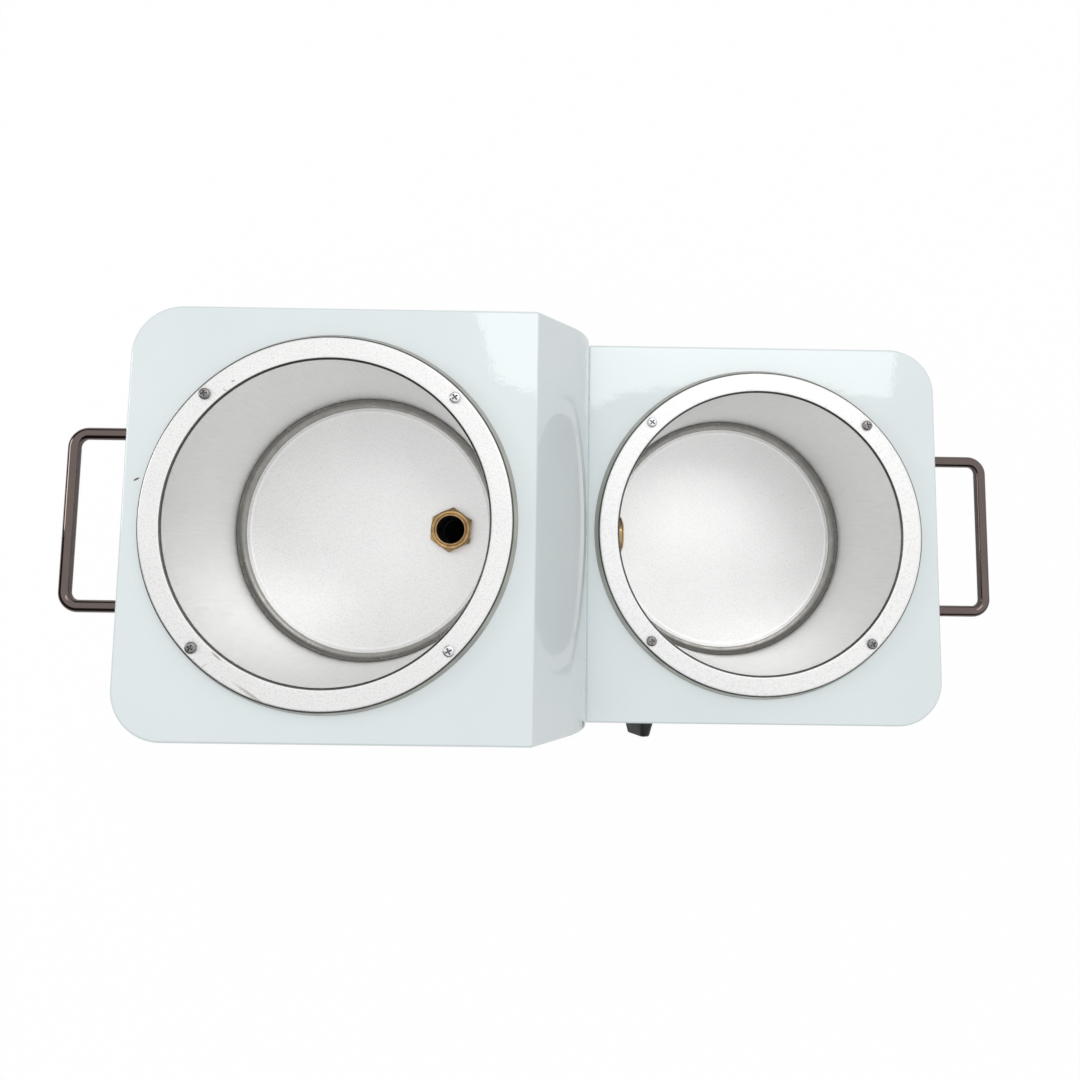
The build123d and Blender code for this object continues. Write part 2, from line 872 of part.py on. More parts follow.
# The ball is shut at rest, its bore upright
with BuildPart() as valve_ball:
    with Locations((valve_x, case_y, line_z)):
        Sphere(ball_r)
        Cylinder(valve_bore_r, 2 * ball_r + 1, mode=Mode.SUBTRACT)
    with BuildSketch(stem_plane.offset(front_y - stem_start + 1)):
        Rectangle(2 * ball_r, tongue_t + 2 * run_gap)
    extrude(amount=-tongue_depth - 1 - run_gap, mode=Mode.SUBTRACT)
keep(valve_ball, "valve_ball")

tip_plane = front_plane(valve_x, line_z).offset(lever_stand)
with BuildPart() as valve_stem:
    with BuildSketch(tip_plane):
        Circle(stem_r)
    extrude(amount=-(stem_start - seat_gap - front_y + lever_stand))
    with BuildSketch(side_plane(valve_x, line_z).offset(ball_r + seat_gap)):
        Rectangle(stem_r * 1.7, tongue_t)
    extrude(amount=-tongue_depth)
    with BuildSketch(tip_plane):
        Rectangle(square, square)
    extrude(amount=lever_t - seat_gap)
    with BuildSketch(tip_plane.offset(lever_t - seat_gap)):
        Circle(m4_r + run_gap)
    extrude(amount=-m4_short_len - 1, mode=Mode.SUBTRACT)
keep(valve_stem, "valve_stem")

gland_plane = side_plane(valve_x, line_z).offset(boss_reach)
lone("gland_nut", hex_nut(gland_af, gland_h, stem_r + stem_gap), gland_plane)

with BuildPart() as stem_bush:
    with BuildSketch(stem_plane):
        Circle(stem_bush_r + bush_flange)
    extrude(amount=bush_flange_t)
    fillet(stem_bush.edges().sort_by(Axis.Y)[0], 0.6)
    with BuildSketch(stem_plane):
        Circle(stem_bush_r)
    extrude(amount=-bush_in)
    with BuildSketch(stem_plane.offset(bush_flange_t)):
        Circle(stem_r + stem_gap)
    extrude(amount=-bush_flange_t - bush_in, mode=Mode.SUBTRACT)
keep(stem_bush, "stem_bush")

with BuildPart() as valve_lever:
    with BuildSketch(tip_plane):
        Circle(lever_hub_r)
        with Locations((0, lever_len / 2)):
            Rectangle(lever_width, lever_len)
        with Locations((0, lever_len)):
            Circle(lever_width / 2)
        Rectangle(square + 2 * run_gap, square + 2 * run_gap, mode=Mode.SUBTRACT)
    extrude(amount=lever_t)
keep(valve_lever, "valve_lever")

with BuildPart() as lever_grip:
    with BuildSketch(tip_plane.offset(-grip_wall)):
        with Locations((0, lever_len - grip_len / 2 + lever_width / 4)):
            RectangleRounded(lever_width + 2 * grip_wall, grip_len + lever_width / 2, lever_width / 2)
    extrude(amount=lever_t + 2 * grip_wall)
    fillet(lever_grip.edges().group_by(Axis.Y)[0], 1.6)
    fillet(lever_grip.edges().group_by(Axis.Y)[-1], 1.6)
    add(valve_lever.part, mode=Mode.SUBTRACT)
keep(lever_grip, "lever_grip")

lever_top = tip_plane.offset(lever_t)
with BuildPart() as lever_screw:
    # A screw with its captive washer
    add(at(m4_short, lever_top.offset(lever_washer_t)))
    add(at(ring_part(m4_head_r + 1.4, m4_r, lever_washer_t), lever_top))
keep(lever_screw, "lever_screw")

# Transfer pipe, coupling and inlet fitting
cap_face = valve_start + cap_end
coupling_mid = (cap_face + saddle_x - lock_nut_h) / 2
coupling_len = saddle_x - lock_nut_h - cap_face - 2 * coupling_gap
with BuildPart() as transfer_pipe:
    with BuildSketch(line_plane(cap_face - cap_len + 3)):
        Circle(thread_r)
        Circle(thread_r - pipe_wall, mode=Mode.SUBTRACT)
    extrude(amount=coupling_mid - 0.5 - cap_face + cap_len - 3)
keep(transfer_pipe, "transfer_pipe")

coupling = ring_part(coupling_r, thread_r + run_gap, coupling_len)
lone("pipe_coupling", coupling, line_plane(coupling_mid - coupling_len / 2))
lone("inlet_fitting", hex_fitting(inlet_base - coupling_mid - 0.5), line_plane(inlet_base))

with BuildPart() as inlet_outer_saddle:
    with BuildSketch(line_plane(saddle_x)):
        Circle(lock_nut_af / 2)
        Circle(thread_r + seat_gap, mode=Mode.SUBTRACT)
    extrude(amount=saddle_t + 4)
    with Locations((lower_x, case_y, line_z)):
        Cylinder(pot_out_r + seat_gap, 2 * lock_nut_af, mode=Mode.SUBTRACT)

with BuildPart() as inlet_inner_saddle:
    with BuildSketch(line_plane(inlet_base)):
        Circle(head_af / 2 - 0.5)
        Circle(thread_r + seat_gap, mode=Mode.SUBTRACT)
    extrude(amount=-saddle_t - 2)
    with Locations((lower_x, case_y, line_z)):
        Cylinder(pot_r - seat_gap, 2 * lock_nut_af, mode=Mode.INTERSECT)
with BuildPart() as inlet_saddles:
    add([inlet_outer_saddle.part, inlet_inner_saddle.part])
keep(inlet_saddles, "inlet_saddles")

# Front controls of each pot: thermostat, knob, rocker switch and lamp
panel_screw_planes = [p.offset(inlet_flange_t) for p in inlet_screws]
panel_in = -sheet
turns = {"upper": 0, "lower": knob_turn}
sides = {"upper": -1, "lower": 1}


def d_shape(r, flat):
    with BuildSketch() as shape:
        Circle(r)
        with Locations((0, flat + r)):
            Rectangle(2 * r, 2 * r, mode=Mode.SUBTRACT)
    return shape.sketch


def knob_part():
    # Modelled on the local XY plane, which is the panel's face
    with BuildPart() as knob:
        with BuildSketch(Plane.XY.offset(knob_gap)):
            Circle(knob_skirt_r)
        extrude(amount=knob_skirt_h, taper=8)
        fillet(knob.edges().group_by(Axis.Z)[-1], 1.5)
        with BuildSketch(Plane.XY.offset(knob_gap + knob_skirt_h - 1)):
            SlotOverall(grip_bar_len, grip_bar_base, rotation=90)
        with BuildSketch(Plane.XY.offset(knob_reach)):
            SlotOverall(grip_bar_top, grip_bar_tip, rotation=90)
        loft()
        fillet(knob.edges().group_by(Axis.Z)[-1], 1.2)
        with BuildSketch(Plane.XY.offset(knob_gap)):
            Circle(knob_skirt_r - 2)
            Circle(spindle_r + 4, mode=Mode.SUBTRACT)
        extrude(amount=knob_skirt_h * 0.55, mode=Mode.SUBTRACT)
        with BuildSketch(Plane.XY.offset(knob_gap)):
            add(d_shape(spindle_r + run_gap, spindle_flat + run_gap))
        extrude(amount=spindle_out - knob_gap + 0.5, mode=Mode.SUBTRACT)
    return knob.part


def spindle_part():
    with BuildPart() as spindle:
        with BuildSketch(Plane.XY.offset(-spindle_in)):
            Circle(spindle_r)
        extrude(amount=spindle_in)
        with BuildSketch():
            add(d_shape(spindle_r, spindle_flat))
        extrude(amount=spindle_out)
    return spindle.part


def thermostat_part():
    back = panel_in - thermostat_d
    with BuildPart() as thermostat:
        with BuildSketch(Plane.XY.offset(panel_in)):
            Rectangle(thermostat_w + 8, thermostat_h * 0.5)
        extrude(amount=-1.5)
        with BuildSketch(Plane.XY.offset(panel_in - 1.5)):
            RectangleRounded(thermostat_w, thermostat_h, 3)
        extrude(amount=-thermostat_d + 1.5)
        chamfer(thermostat.edges().group_by(Axis.Z)[0], 1)
        with BuildSketch(Plane.XY.offset(back)):
            with Locations(*[(way * blade_x, -blade_drop) for way in (-1, 1)]):
                Rectangle(blade_w, blade_t)
        extrude(amount=-blade_len)
        with BuildSketch(Plane.XY.offset(back)):
            with Locations((0, thermostat_boss_up)):
                Circle(thermostat_boss_r)
        extrude(amount=-thermostat_boss_out)
        with BuildSketch(Plane.XY.offset(panel_in)):
            Circle(spindle_r + run_gap)
            with Locations((-thermostat_screw_x, 0), (thermostat_screw_x, 0)):
                Circle(m4_r + run_gap)
        extrude(amount=-spindle_in + sheet - 0.5, mode=Mode.SUBTRACT)
    return thermostat.part


def rocker_frame_part():
    with BuildPart() as frame:
        with BuildSketch():
            RectangleRounded(rocker_w + 2 * rocker_frame_lip, rocker_h + 2 * rocker_frame_lip, 1.5)
        extrude(amount=rocker_frame_t)
        fillet(frame.edges().group_by(Axis.Z)[-1], 0.6)
        with BuildSketch():
            Rectangle(rocker_w, rocker_h)
        extrude(amount=-rocker_depth)
        with BuildSketch(Plane.XY.offset(rocker_frame_t)):
            Rectangle(rocker_w - 2 * rocker_wall, rocker_h - 2 * rocker_wall)
        extrude(amount=-12, mode=Mode.SUBTRACT)
        with BuildSketch(Plane.XY.offset(-rocker_depth)):
            with Locations((0, -switch_blade_z), (0, switch_blade_z)):
                Rectangle(switch_blade_w, blade_t)
        extrude(amount=-switch_blade_len)
        with BuildSketch(Plane.YZ.offset(-rocker_w / 2 + rocker_wall / 2 - run_gap)):
            Circle(pivot_r + run_gap)
        extrude(amount=rocker_w - rocker_wall + 2 * run_gap, mode=Mode.SUBTRACT)
    return frame.part


def rocker_part():
    # Two flats that meet at a ridge, round ended about the pivot, tipped to off at rest
    reach = rocker_h / 2 - rocker_wall - 0.4
    with BuildPart() as rocker:
        with BuildSketch(Plane.YZ):
            Circle(reach)
            with BuildLine():
                Polyline(
                    (-reach - 1, -rocker_under),
                    (reach + 1, -rocker_under),
                    (reach + 1, rocker_top - rocker_fall),
                    (0, rocker_top),
                    (-reach - 1, rocker_top - rocker_fall),
                    close=True,
                )
            make_face(mode=Mode.INTERSECT)
        extrude(amount=rocker_w / 2 - rocker_wall - 0.3, both=True)
        with BuildSketch(Plane.YZ):
            Circle(pivot_r)
        extrude(amount=rocker_w / 2 - rocker_wall / 2, both=True)
    return rocker.part.rotate(Axis.X, rocker_tilt)


def lamp_part():
    with BuildPart() as lamp:
        with BuildSketch():
            Circle(lamp_flange_r)
        extrude(amount=1.5)
        with BuildSketch(Plane.XY.offset(1.5)):
            Circle(lamp_r - 0.4)
        extrude(amount=1.8)
        fillet(lamp.edges().group_by(Axis.Z)[-1], 1.5)
        with BuildSketch():
            Circle(lamp_r)
        extrude(amount=-lamp_depth)
        with BuildSketch(Plane.XY.offset(-lamp_depth)):
            with Locations((-lamp_blade_x, 0), (lamp_blade_x, 0)):
                Rectangle(blade_t, lamp_blade_w)
        extrude(amount=-lamp_blade_len)
    return lamp.part


for label in pots:
    x = sides[label] * control_x
    knob_plane = front_plane(x, knob_z, turns[label])
    lone(f"{label}_knob", knob_part(), knob_plane)
    lone(f"{label}_spindle", spindle_part(), knob_plane)
    lone(f"{label}_thermostat", thermostat_part(), front_plane(x, knob_z))
    panel_screw_planes += spots(x, knob_z, [(-thermostat_screw_x, 0), (thermostat_screw_x, 0)])
    lone(f"{label}_switch_frame", rocker_frame_part(), front_plane(x, switch_z))
    lone(f"{label}_rocker", rocker_part(), front_plane(x, switch_z))
    lone(f"{label}_lamp", lamp_part(), front_plane(x + sides[label] * lamp_shift, switch_z))
group("panel_screws", m4_short, panel_screw_planes)

# Band heaters, their clamp screws, insulation jackets, sensors and cut-outs
lower_band_z = line_z + lock_nut_af * 0.58 + 2 + jacket_over
heaters = {
    "upper": (upper_x, upper_under + upper_band_rise, -gap_angle, upper_under, upper_deck),
    "lower": (lower_x, lower_band_z, 180 + gap_angle, lower_under, lower_deck),
}
for label, (x, band_z, angle, under, deck) in heaters.items():
    gap_plane = level(x, band_z).rotated((0, 0, angle))
    with BuildPart() as band_heater:
        with BuildSketch(gap_plane):
            Circle(band_r + band_t)
            Circle(band_r, mode=Mode.SUBTRACT)
            with Locations((band_r, 0)):
                Rectangle(band_r, band_gap, mode=Mode.SUBTRACT)
        extrude(amount=band_h)
        with BuildSketch(gap_plane.offset(band_h / 4)):
            for way in (-1, 1):
                with Locations((band_r + band_ear / 2, way * (band_gap + band_ear_t) / 2)):
                    Rectangle(band_ear, band_ear_t)
        extrude(amount=band_h / 2)
        with BuildSketch(gap_plane.offset(band_h / 4)):
            with Locations((band_r + band_t + heater_block_out, heater_block_along)):
                Rectangle(heater_block_w, heater_block_len, rotation=heater_block_turn)
        extrude(amount=band_h / 2)
        ear_plane = Plane(
            origin=gap_plane.from_local_coords(Vector(band_r + band_ear * 0.6, 0, band_h / 2)),
            x_dir=(0, 0, 1),
            z_dir=gap_plane.y_dir,
        )
        with BuildSketch(ear_plane.offset(-band_gap)):
            Circle(m4_hole_r)
        extrude(amount=2 * band_gap, mode=Mode.SUBTRACT)
    keep(band_heater, f"{label}_band_heater")
    head_plane = ear_plane.offset(band_gap / 2 + band_ear_t)
    long_screw_planes.append(head_plane)
    nut_plane = Plane(
        origin=ear_plane.offset(-band_gap / 2 - band_ear_t).origin,
        x_dir=(0, 0, 1),
        z_dir=ear_plane.z_dir * -1,
    )
    nut_planes.append(nut_plane)
    with BuildPart() as jacket:
        with BuildSketch(gap_plane.offset(-jacket_over)):
            Circle(jacket_r + jacket_t)
            Circle(jacket_r, mode=Mode.SUBTRACT)
            with Locations((jacket_r, 0)):
                Rectangle(jacket_r, jacket_slot, mode=Mode.SUBTRACT)
        extrude(amount=band_h + 2 * jacket_over)
        fillet(jacket.edges().filter_by(Axis.Z), 2)
    keep(jacket, f"{label}_jacket")

# Handles with their screws and washers
for label, planes in (("left", left_wall), ("right", right_wall)):
    first = planes[0]
    middle = Plane(
        origin=(first.origin.X, case_y, first.origin.Z),
        x_dir=first.z_dir,
        z_dir=(0, 0, 1),
    )
    with BuildPart() as handle:
        with BuildLine(middle) as run:
            FilletPolyline(
                (0, -handle_span / 2),
                (handle_reach, -handle_span / 2),
                (handle_reach, handle_span / 2),
                (0, handle_span / 2),
                radius=handle_bend_r,
            )
        with BuildSketch(Plane(origin=run.line @ 0, z_dir=run.line % 0)):
            Circle(handle_rod_r)
        sweep(path=run.line)
        for plane in planes:
            with BuildSketch(plane):
                Circle(m5_r + run_gap)
            extrude(amount=handle_tap, mode=Mode.SUBTRACT)
    keep(handle, f"{label}_handle")
inward = [
    Plane(origin=p.origin - p.z_dir * sheet, x_dir=(0, 1, 0), z_dir=p.z_dir * -1)
    for p in left_wall + right_wall
]
m5_handle = pan_screw(m5_r, sheet + handle_tap - 1, m5_head_r, m5_head_h)
group("handle_screws", m5_handle, inward)

# Appliance inlet in the back wall, its pins and screws
socket_end = inlet_flange_t - socket_d
pin_places = [(-7, -2), (7, -2), (0, 2)]
with BuildPart() as power_inlet:
    with BuildSketch(rear):
        RectangleRounded(inlet_flange_w, inlet_flange_h, 5)
    extrude(amount=inlet_flange_t)
    fillet(power_inlet.edges().group_by(Axis.Y)[-1], 0.8)
    with BuildSketch(rear):
        Rectangle(inlet_body_w, inlet_body_h)
    extrude(amount=-inlet_body_d)
    with BuildSketch(rear.offset(-inlet_body_d)):
        with Locations(*pin_places):
            Rectangle(blade_w, blade_t)
    extrude(amount=-blade_len)
    with BuildSketch(rear.offset(inlet_flange_t)) as mouth:
        Rectangle(socket_w, socket_h)
        chamfer(mouth.vertices().group_by(Axis.Z)[-1], 4)
    extrude(amount=-socket_d, mode=Mode.SUBTRACT)
    with BuildSketch(rear.offset(inlet_flange_t)):
        with Locations((-inlet_screw_x, 0), (inlet_screw_x, 0)):
            Circle(m4_hole_r)
    extrude(amount=-inlet_flange_t, mode=Mode.SUBTRACT)
keep(power_inlet, "power_inlet")

with BuildPart() as inlet_pins:
    with BuildSketch(rear.offset(socket_end)):
        with Locations(*pin_places):
            Rectangle(pin_w, pin_h)
    extrude(amount=pin_len)
    chamfer(inlet_pins.edges().group_by(Axis.Y)[-1], 0.6)
keep(inlet_pins, "inlet_pins")

# Terminal block and earth stud on the base plate
block_at = (block_x, case_y + block_y, base_top)
pole_xs = [(i - (pole_count - 1) / 2) * pole_pitch for i in range(pole_count)]
with BuildPart() as terminal_block:
    with BuildSketch(Plane(origin=block_at)):
        Rectangle(block_w, block_h)
    extrude(amount=block_foot)
    with BuildSketch(Plane(origin=block_at)):
        Rectangle(pole_count * pole_pitch - 6, block_h * 0.7)
    extrude(amount=block_d)
    with BuildSketch(Plane(origin=block_at)):
        with Locations(*[(x - block_x, 0) for x, y in block_ends]):
            Circle(m4_hole_r)
    extrude(amount=block_d, mode=Mode.SUBTRACT)
    with BuildSketch(Plane(origin=block_at, x_dir=(1, 0, 0), z_dir=(0, -1, 0))):
        with Locations(*[(x, pole_z) for x in pole_xs]):
            Circle(wire_r + 0.7)
    extrude(amount=block_h / 2, both=True, mode=Mode.SUBTRACT)
keep(terminal_block, "terminal_block")
long_screw_planes += above(block_ends, base_top + block_foot)
long_screw_planes += below([earth_place], foot_height)
nut_planes += above([earth_place], base_top + lug_t)
group("inner_screws", m4_long, long_screw_planes)
group("m4_nuts", m4_nut, nut_planes)


# Sensors under the pot floors: a bulb, its capillary and its clips
def tube_path(points, most):
    # Each corner is as round as its shorter run allows, up to the given radius
    radii = []
    for before, at, after in zip(points, points[1:], points[2:]):
        come = Vector(at) - Vector(before)
        go = Vector(after) - Vector(at)
        turn = math.radians(come.get_angle(go))
        radii.append(min(most, 0.45 * min(come.length, go.length) / math.tan(turn / 2)))
    return FilletPolyline(*points, radius=radii)


def tube(points, r, most):
    with BuildPart() as run:
        with BuildLine() as path:
            tube_path(points, most)
        with BuildSketch(Plane(origin=path.line @ 0, z_dir=path.line % 0)):
            Circle(r)
        sweep(path=path.line)
    return run.part


clip_planes = []
cutout_planes = []
boss_z = knob_z + thermostat_boss_up
boss_y = front_y + sheet + thermostat_d + thermostat_boss_out
for label, (x, band_z, angle, under, deck) in heaters.items():
    toward = -sides[label]
    bulb_z = under - bulb_r - run_gap
    near_x = x + toward * bulb_start
    control = sides[label] * control_x
    rise = (near_x, case_y + bulb_y, bulb_z)
    before = (near_x + toward * 20, case_y + bulb_y, bulb_z)
    if label == "upper":
        middle = [(control, case_y + bulb_y, boss_z)]
    else:
        middle = [(control, boss_y + 10, boss_z), (control, boss_y + 10, bulb_z)]
    with BuildPart() as sensor:
        add(tube([(control, boss_y, boss_z)] + middle + [before, rise], capillary_r, 8))
        with BuildSketch(Plane(origin=rise, z_dir=(-toward, 0, 0))):
            Circle(bulb_r)
        extrude(amount=bulb_len)
    keep(sensor, f"{label}_sensor")
    for along in (12, bulb_len - 18):
        spot = Plane(
            origin=(near_x - toward * along, case_y + bulb_y, bulb_z),
            x_dir=(0, 1, 0),
            z_dir=(1, 0, 0),
        )
        clip_planes.append(spot)
    cutout_planes.append(Plane(origin=(x - toward * cutout_shift, case_y + cutout_back, under)))

with BuildPart() as clip:
    with BuildSketch():
        Circle(bulb_r + run_gap + clip_t)
        with Locations((0, bulb_r + run_gap + 5)):
            Rectangle(4 * bulb_r, 10, mode=Mode.SUBTRACT)
        with Locations((0, bulb_r + run_gap - clip_t / 2)):
            Rectangle(clip_w, clip_t)
            Rectangle(clip_mouth, 2 * clip_t, mode=Mode.SUBTRACT)
        Circle(bulb_r + run_gap, mode=Mode.SUBTRACT)
    extrude(amount=4, both=True)
group("bulb_clips", clip.part, clip_planes)

with BuildPart() as cutout:
    with BuildSketch():
        RectangleRounded(cutout_plate_w, cutout_plate_d, 3)
    extrude(amount=-cutout_plate_t)
    with BuildSketch():
        Circle(cutout_r)
    extrude(amount=-cutout_h)
    with BuildSketch(Plane.XY.offset(-cutout_h)):
        with Locations((0, -cutout_pin_y), (0, cutout_pin_y)):
            Rectangle(blade_w, blade_t)
    extrude(amount=-cutout_pin)
group("thermal_cutouts", cutout.part, cutout_planes)

# Wires, as points (x, y from the middle of the case, z)
rear_y = case_depth / 2 - inlet_body_d - blade_len
hole_y = block_y + block_h / 2
live_x, neutral_x = inlet_x + pin_places[1][0], inlet_x + pin_places[0][0]
pin_z = inlet_z + pin_places[0][1]
earth_z = base_top + wire_r + run_gap
pole_line = base_top + pole_z
poles = [block_x + x for x in pole_xs]
switch_y = -case_depth / 2 + rocker_depth + switch_blade_len
blade_y = -case_depth / 2 + sheet + thermostat_d + blade_len
blade_z = knob_z - blade_drop
lane_y = blade_y + 7


def wires(label, routes, ends=()):
    with BuildPart() as loom:
        for route in routes:
            points = [(x, case_y + y, z) for x, y, z in route]
            add(tube(points, wire_r, wire_bend_r))
        for piece in ends:
            add(piece)
    keep(loom, label)


def heater_tail(label, along):
    # Under the connector block of a band heater
    x, band_z, angle, under, deck = heaters[label]
    plane = level(x, band_z).rotated((0, 0, angle))
    spot = plane.from_local_coords(Vector(band_r + band_t + heater_block_out, along, band_h / 4))
    return (spot.X, spot.Y - case_y, spot.Z)


# Mains: neutral and live to the block, earth to a ring lug on its stud
earth_x, earth_y = earth_place
tongue_x = earth_x + lug_r + lug_tongue / 2
with BuildPart() as lug:
    with BuildSketch(level(0, base_top)):
        with Locations(earth_place):
            Circle(lug_r)
        with Locations((tongue_x, earth_y)):
            Rectangle(lug_tongue + 2, 2 * wire_r)
        with Locations(earth_place):
            Circle(m4_r + run_gap, mode=Mode.SUBTRACT)
    extrude(amount=lug_t)
turn_y = rear_y - wire_drop
wires(
    "mains_wires",
    [
        [
            (neutral_x, rear_y, pin_z),
            (neutral_x, turn_y, pin_z),
            (poles[0], turn_y, pole_line),
            (poles[0], hole_y - wire_in, pole_line),
        ],
        [
            (live_x, rear_y, pin_z),
            (live_x, turn_y, pin_z),
            (poles[2], turn_y, pole_line),
            (poles[2], hole_y - wire_in, pole_line),
        ],
        [
            (inlet_x, rear_y, inlet_z + 2),
            (inlet_x, rear_y - wire_drop / 2, inlet_z + 2),
            (inlet_x, rear_y - wire_drop / 2, earth_z + wire_drop),
            (inlet_x - wire_drop / 2, earth_y, earth_z),
            (earth_x + lug_r + 1, earth_y, earth_z),
        ],
    ],
    [lug.part],
)

# Each pot's heater circuit: live pole, switch, thermostat, cut-out, heater, neutral pole
up_x, low_x = -control_x, control_x
up_cut, low_cut = [plane.origin for plane in cutout_planes]
cut_front = cutout_back - cutout_pin_y - blade_t / 2
cut_back = cutout_back + cutout_pin_y + blade_t / 2
up_cut_z = upper_under - cutout_h - cutout_pin / 2
low_cut_z = lower_under - cutout_h - cutout_pin / 2
near_tail = heater_block_along + heater_tail_pitch / 2
far_tail = heater_block_along - heater_tail_pitch / 2
up_near, up_far = heater_tail("upper", near_tail), heater_tail("upper", far_tail)
low_near, low_far = heater_tail("lower", near_tail), heater_tail("lower", far_tail)
front_hole_y = block_y - block_h / 2 + wire_in
pass_z = window_low + 7
drop_x = blade_x * 1.6
switch_up, switch_down = switch_z + switch_blade_z, switch_z - switch_blade_z


def switch_link(x):
    # From a switch's lower blade to the near blade of its thermostat
    return [
        (x, switch_y, switch_down),
        (x, lane_y - 4, switch_down),
        (x - blade_x, lane_y + 2, knob_z + 15),
        (x - blade_x, lane_y + 2, blade_z),
        (x - blade_x, blade_y, blade_z),
    ]


def switch_feed(x, z):
    # Up beside a thermostat, on the side of the case's middle, to the switch's upper blade
    lane_x = x - math.copysign(drop_x, x)
    return [
        (lane_x, lane_y, z),
        (lane_x, lane_y, switch_up),
        (x, lane_y, switch_up),
        (x, switch_y, switch_up),
    ]


wires(
    "heater_wires",
    [
        [(poles[2], front_hole_y, pole_line)] + switch_feed(up_x, pole_line),
        switch_link(up_x),
        [
            (up_x + blade_x, blade_y, blade_z),
            (up_x + blade_x, blade_y + 24, blade_z),
            (upper_x + 10, blade_y + 24, blade_z + 12),
            (up_cut.X, cut_front - 20, up_cut_z),
            (up_cut.X, cut_front, up_cut_z),
        ],
        [
            (up_cut.X, cut_back, up_cut_z),
            (up_cut.X, cut_back + 16, up_cut_z),
            (up_cut.X + 30, cut_back + 16, up_cut_z - 20),
            (up_near[0], up_near[1], line_z + 12),
            up_near,
        ],
        [
            (poles[0], front_hole_y, pole_line),
            (poles[0], front_hole_y - 20, pole_line),
            (up_far[0] + 14, up_far[1] + 14, pole_line + 8),
            (up_far[0], up_far[1], pole_line + 22),
            up_far,
        ],
        [
            (poles[3], front_hole_y, pole_line),
            (poles[3], front_hole_y - 20, pole_line),
            (foot_x - 20, lane_y + 6, pass_z),
        ]
        + switch_feed(low_x, pass_z),
        switch_link(low_x),
        [
            (low_x + blade_x, blade_y, blade_z),
            (low_x + blade_x, blade_y + 10, blade_z),
            (low_x + blade_x, blade_y + 10, low_cut_z),
            (low_cut.X, cut_front - 40, low_cut_z),
            (low_cut.X, cut_front, low_cut_z),
        ],
        [
            (low_cut.X, cut_back, low_cut_z),
            (low_cut.X, cut_back + 22, low_cut_z),
            (lower_x - 40, cut_back + 22, low_cut_z),
            (low_near[0], low_near[1], low_cut_z),
            low_near,
        ],
        [
            (poles[1], front_hole_y, pole_line),
            (poles[1], front_hole_y - 10, pole_line),
            (poles[1] + 6, front_hole_y - 24, pass_z),
            (foot_x - 12, 34, pass_z),
            (foot_x + 10, 20, pass_z),
            (low_far[0], low_far[1], pass_z),
            low_far,
        ],
    ],
)
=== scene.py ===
import math
import bpy
from mathutils import Matrix, Vector


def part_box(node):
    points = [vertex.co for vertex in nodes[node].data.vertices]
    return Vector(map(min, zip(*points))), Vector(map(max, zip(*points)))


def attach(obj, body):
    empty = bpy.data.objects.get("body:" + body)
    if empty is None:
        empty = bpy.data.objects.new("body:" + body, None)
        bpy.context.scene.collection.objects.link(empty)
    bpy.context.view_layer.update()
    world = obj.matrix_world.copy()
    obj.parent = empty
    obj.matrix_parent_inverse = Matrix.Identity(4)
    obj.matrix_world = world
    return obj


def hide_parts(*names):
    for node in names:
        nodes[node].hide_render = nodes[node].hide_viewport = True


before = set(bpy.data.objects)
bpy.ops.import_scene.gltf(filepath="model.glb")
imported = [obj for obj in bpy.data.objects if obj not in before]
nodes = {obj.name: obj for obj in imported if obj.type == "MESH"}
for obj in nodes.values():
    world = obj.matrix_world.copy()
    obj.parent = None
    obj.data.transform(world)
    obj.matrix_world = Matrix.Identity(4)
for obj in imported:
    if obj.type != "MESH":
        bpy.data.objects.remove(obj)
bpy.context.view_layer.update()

mm = 0.001  # everything below is in metres, this turns millimetres into them
sameSpot = 1e-6  # points nearer than this are one
print("frame loaded,", len(nodes), "nodes")


# Small helpers used all over

def deselectAll():
    for ob in bpy.context.selected_objects:
        ob.select_set(False)


def pick(ob):
    deselectAll()
    ob.select_set(True)
    bpy.context.view_layer.objects.active = ob


def middleOf(node):
    low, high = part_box(node)
    return (low + high) / 2


def roundedPath(corners, steps=5):
    # corners are (radius, height, bend), each bend becomes a short arc
    path = []
    for i, (r, z, bend) in enumerate(corners):
        here = Vector((r, z))
        if bend <= 0 or i in (0, len(corners) - 1):
            path.append(here)
            continue
        back = (Vector(corners[i - 1][:2]) - here).normalized()
        on = (Vector(corners[i + 1][:2]) - here).normalized()
        half = back.angle(on) / 2
        centre = here + (back + on).normalized() * bend / math.sin(half)
        first = here + back * bend / math.tan(half) - centre
        last = here + on * bend / math.tan(half) - centre
        for step in range(steps + 1):
            share = step / steps
            arm = first.lerp(last, share).normalized() * bend
            path.append(centre + arm)
    return [(p.x, p.y) for p in path]


def nameNew(name):
    # The object that the last operator made
    ob = bpy.context.object
    ob.name = name
    ob.data.name = name
    return ob


def editAll():
    bpy.ops.object.mode_set(mode="EDIT")
    bpy.ops.mesh.select_all(action="SELECT")


def closeMesh(merge=False):
    # Out of edit mode, with doubles merged where asked and every face turned outwards
    bpy.ops.mesh.select_all(action="SELECT")
    if merge:
        bpy.ops.mesh.remove_doubles(threshold=sameSpot)
    bpy.ops.mesh.normals_make_consistent(inside=False)
    bpy.ops.object.mode_set(mode="OBJECT")


def pull(x, y, z):
    bpy.ops.mesh.extrude_region_move(TRANSFORM_OT_translate={"value": (x, y, z)})


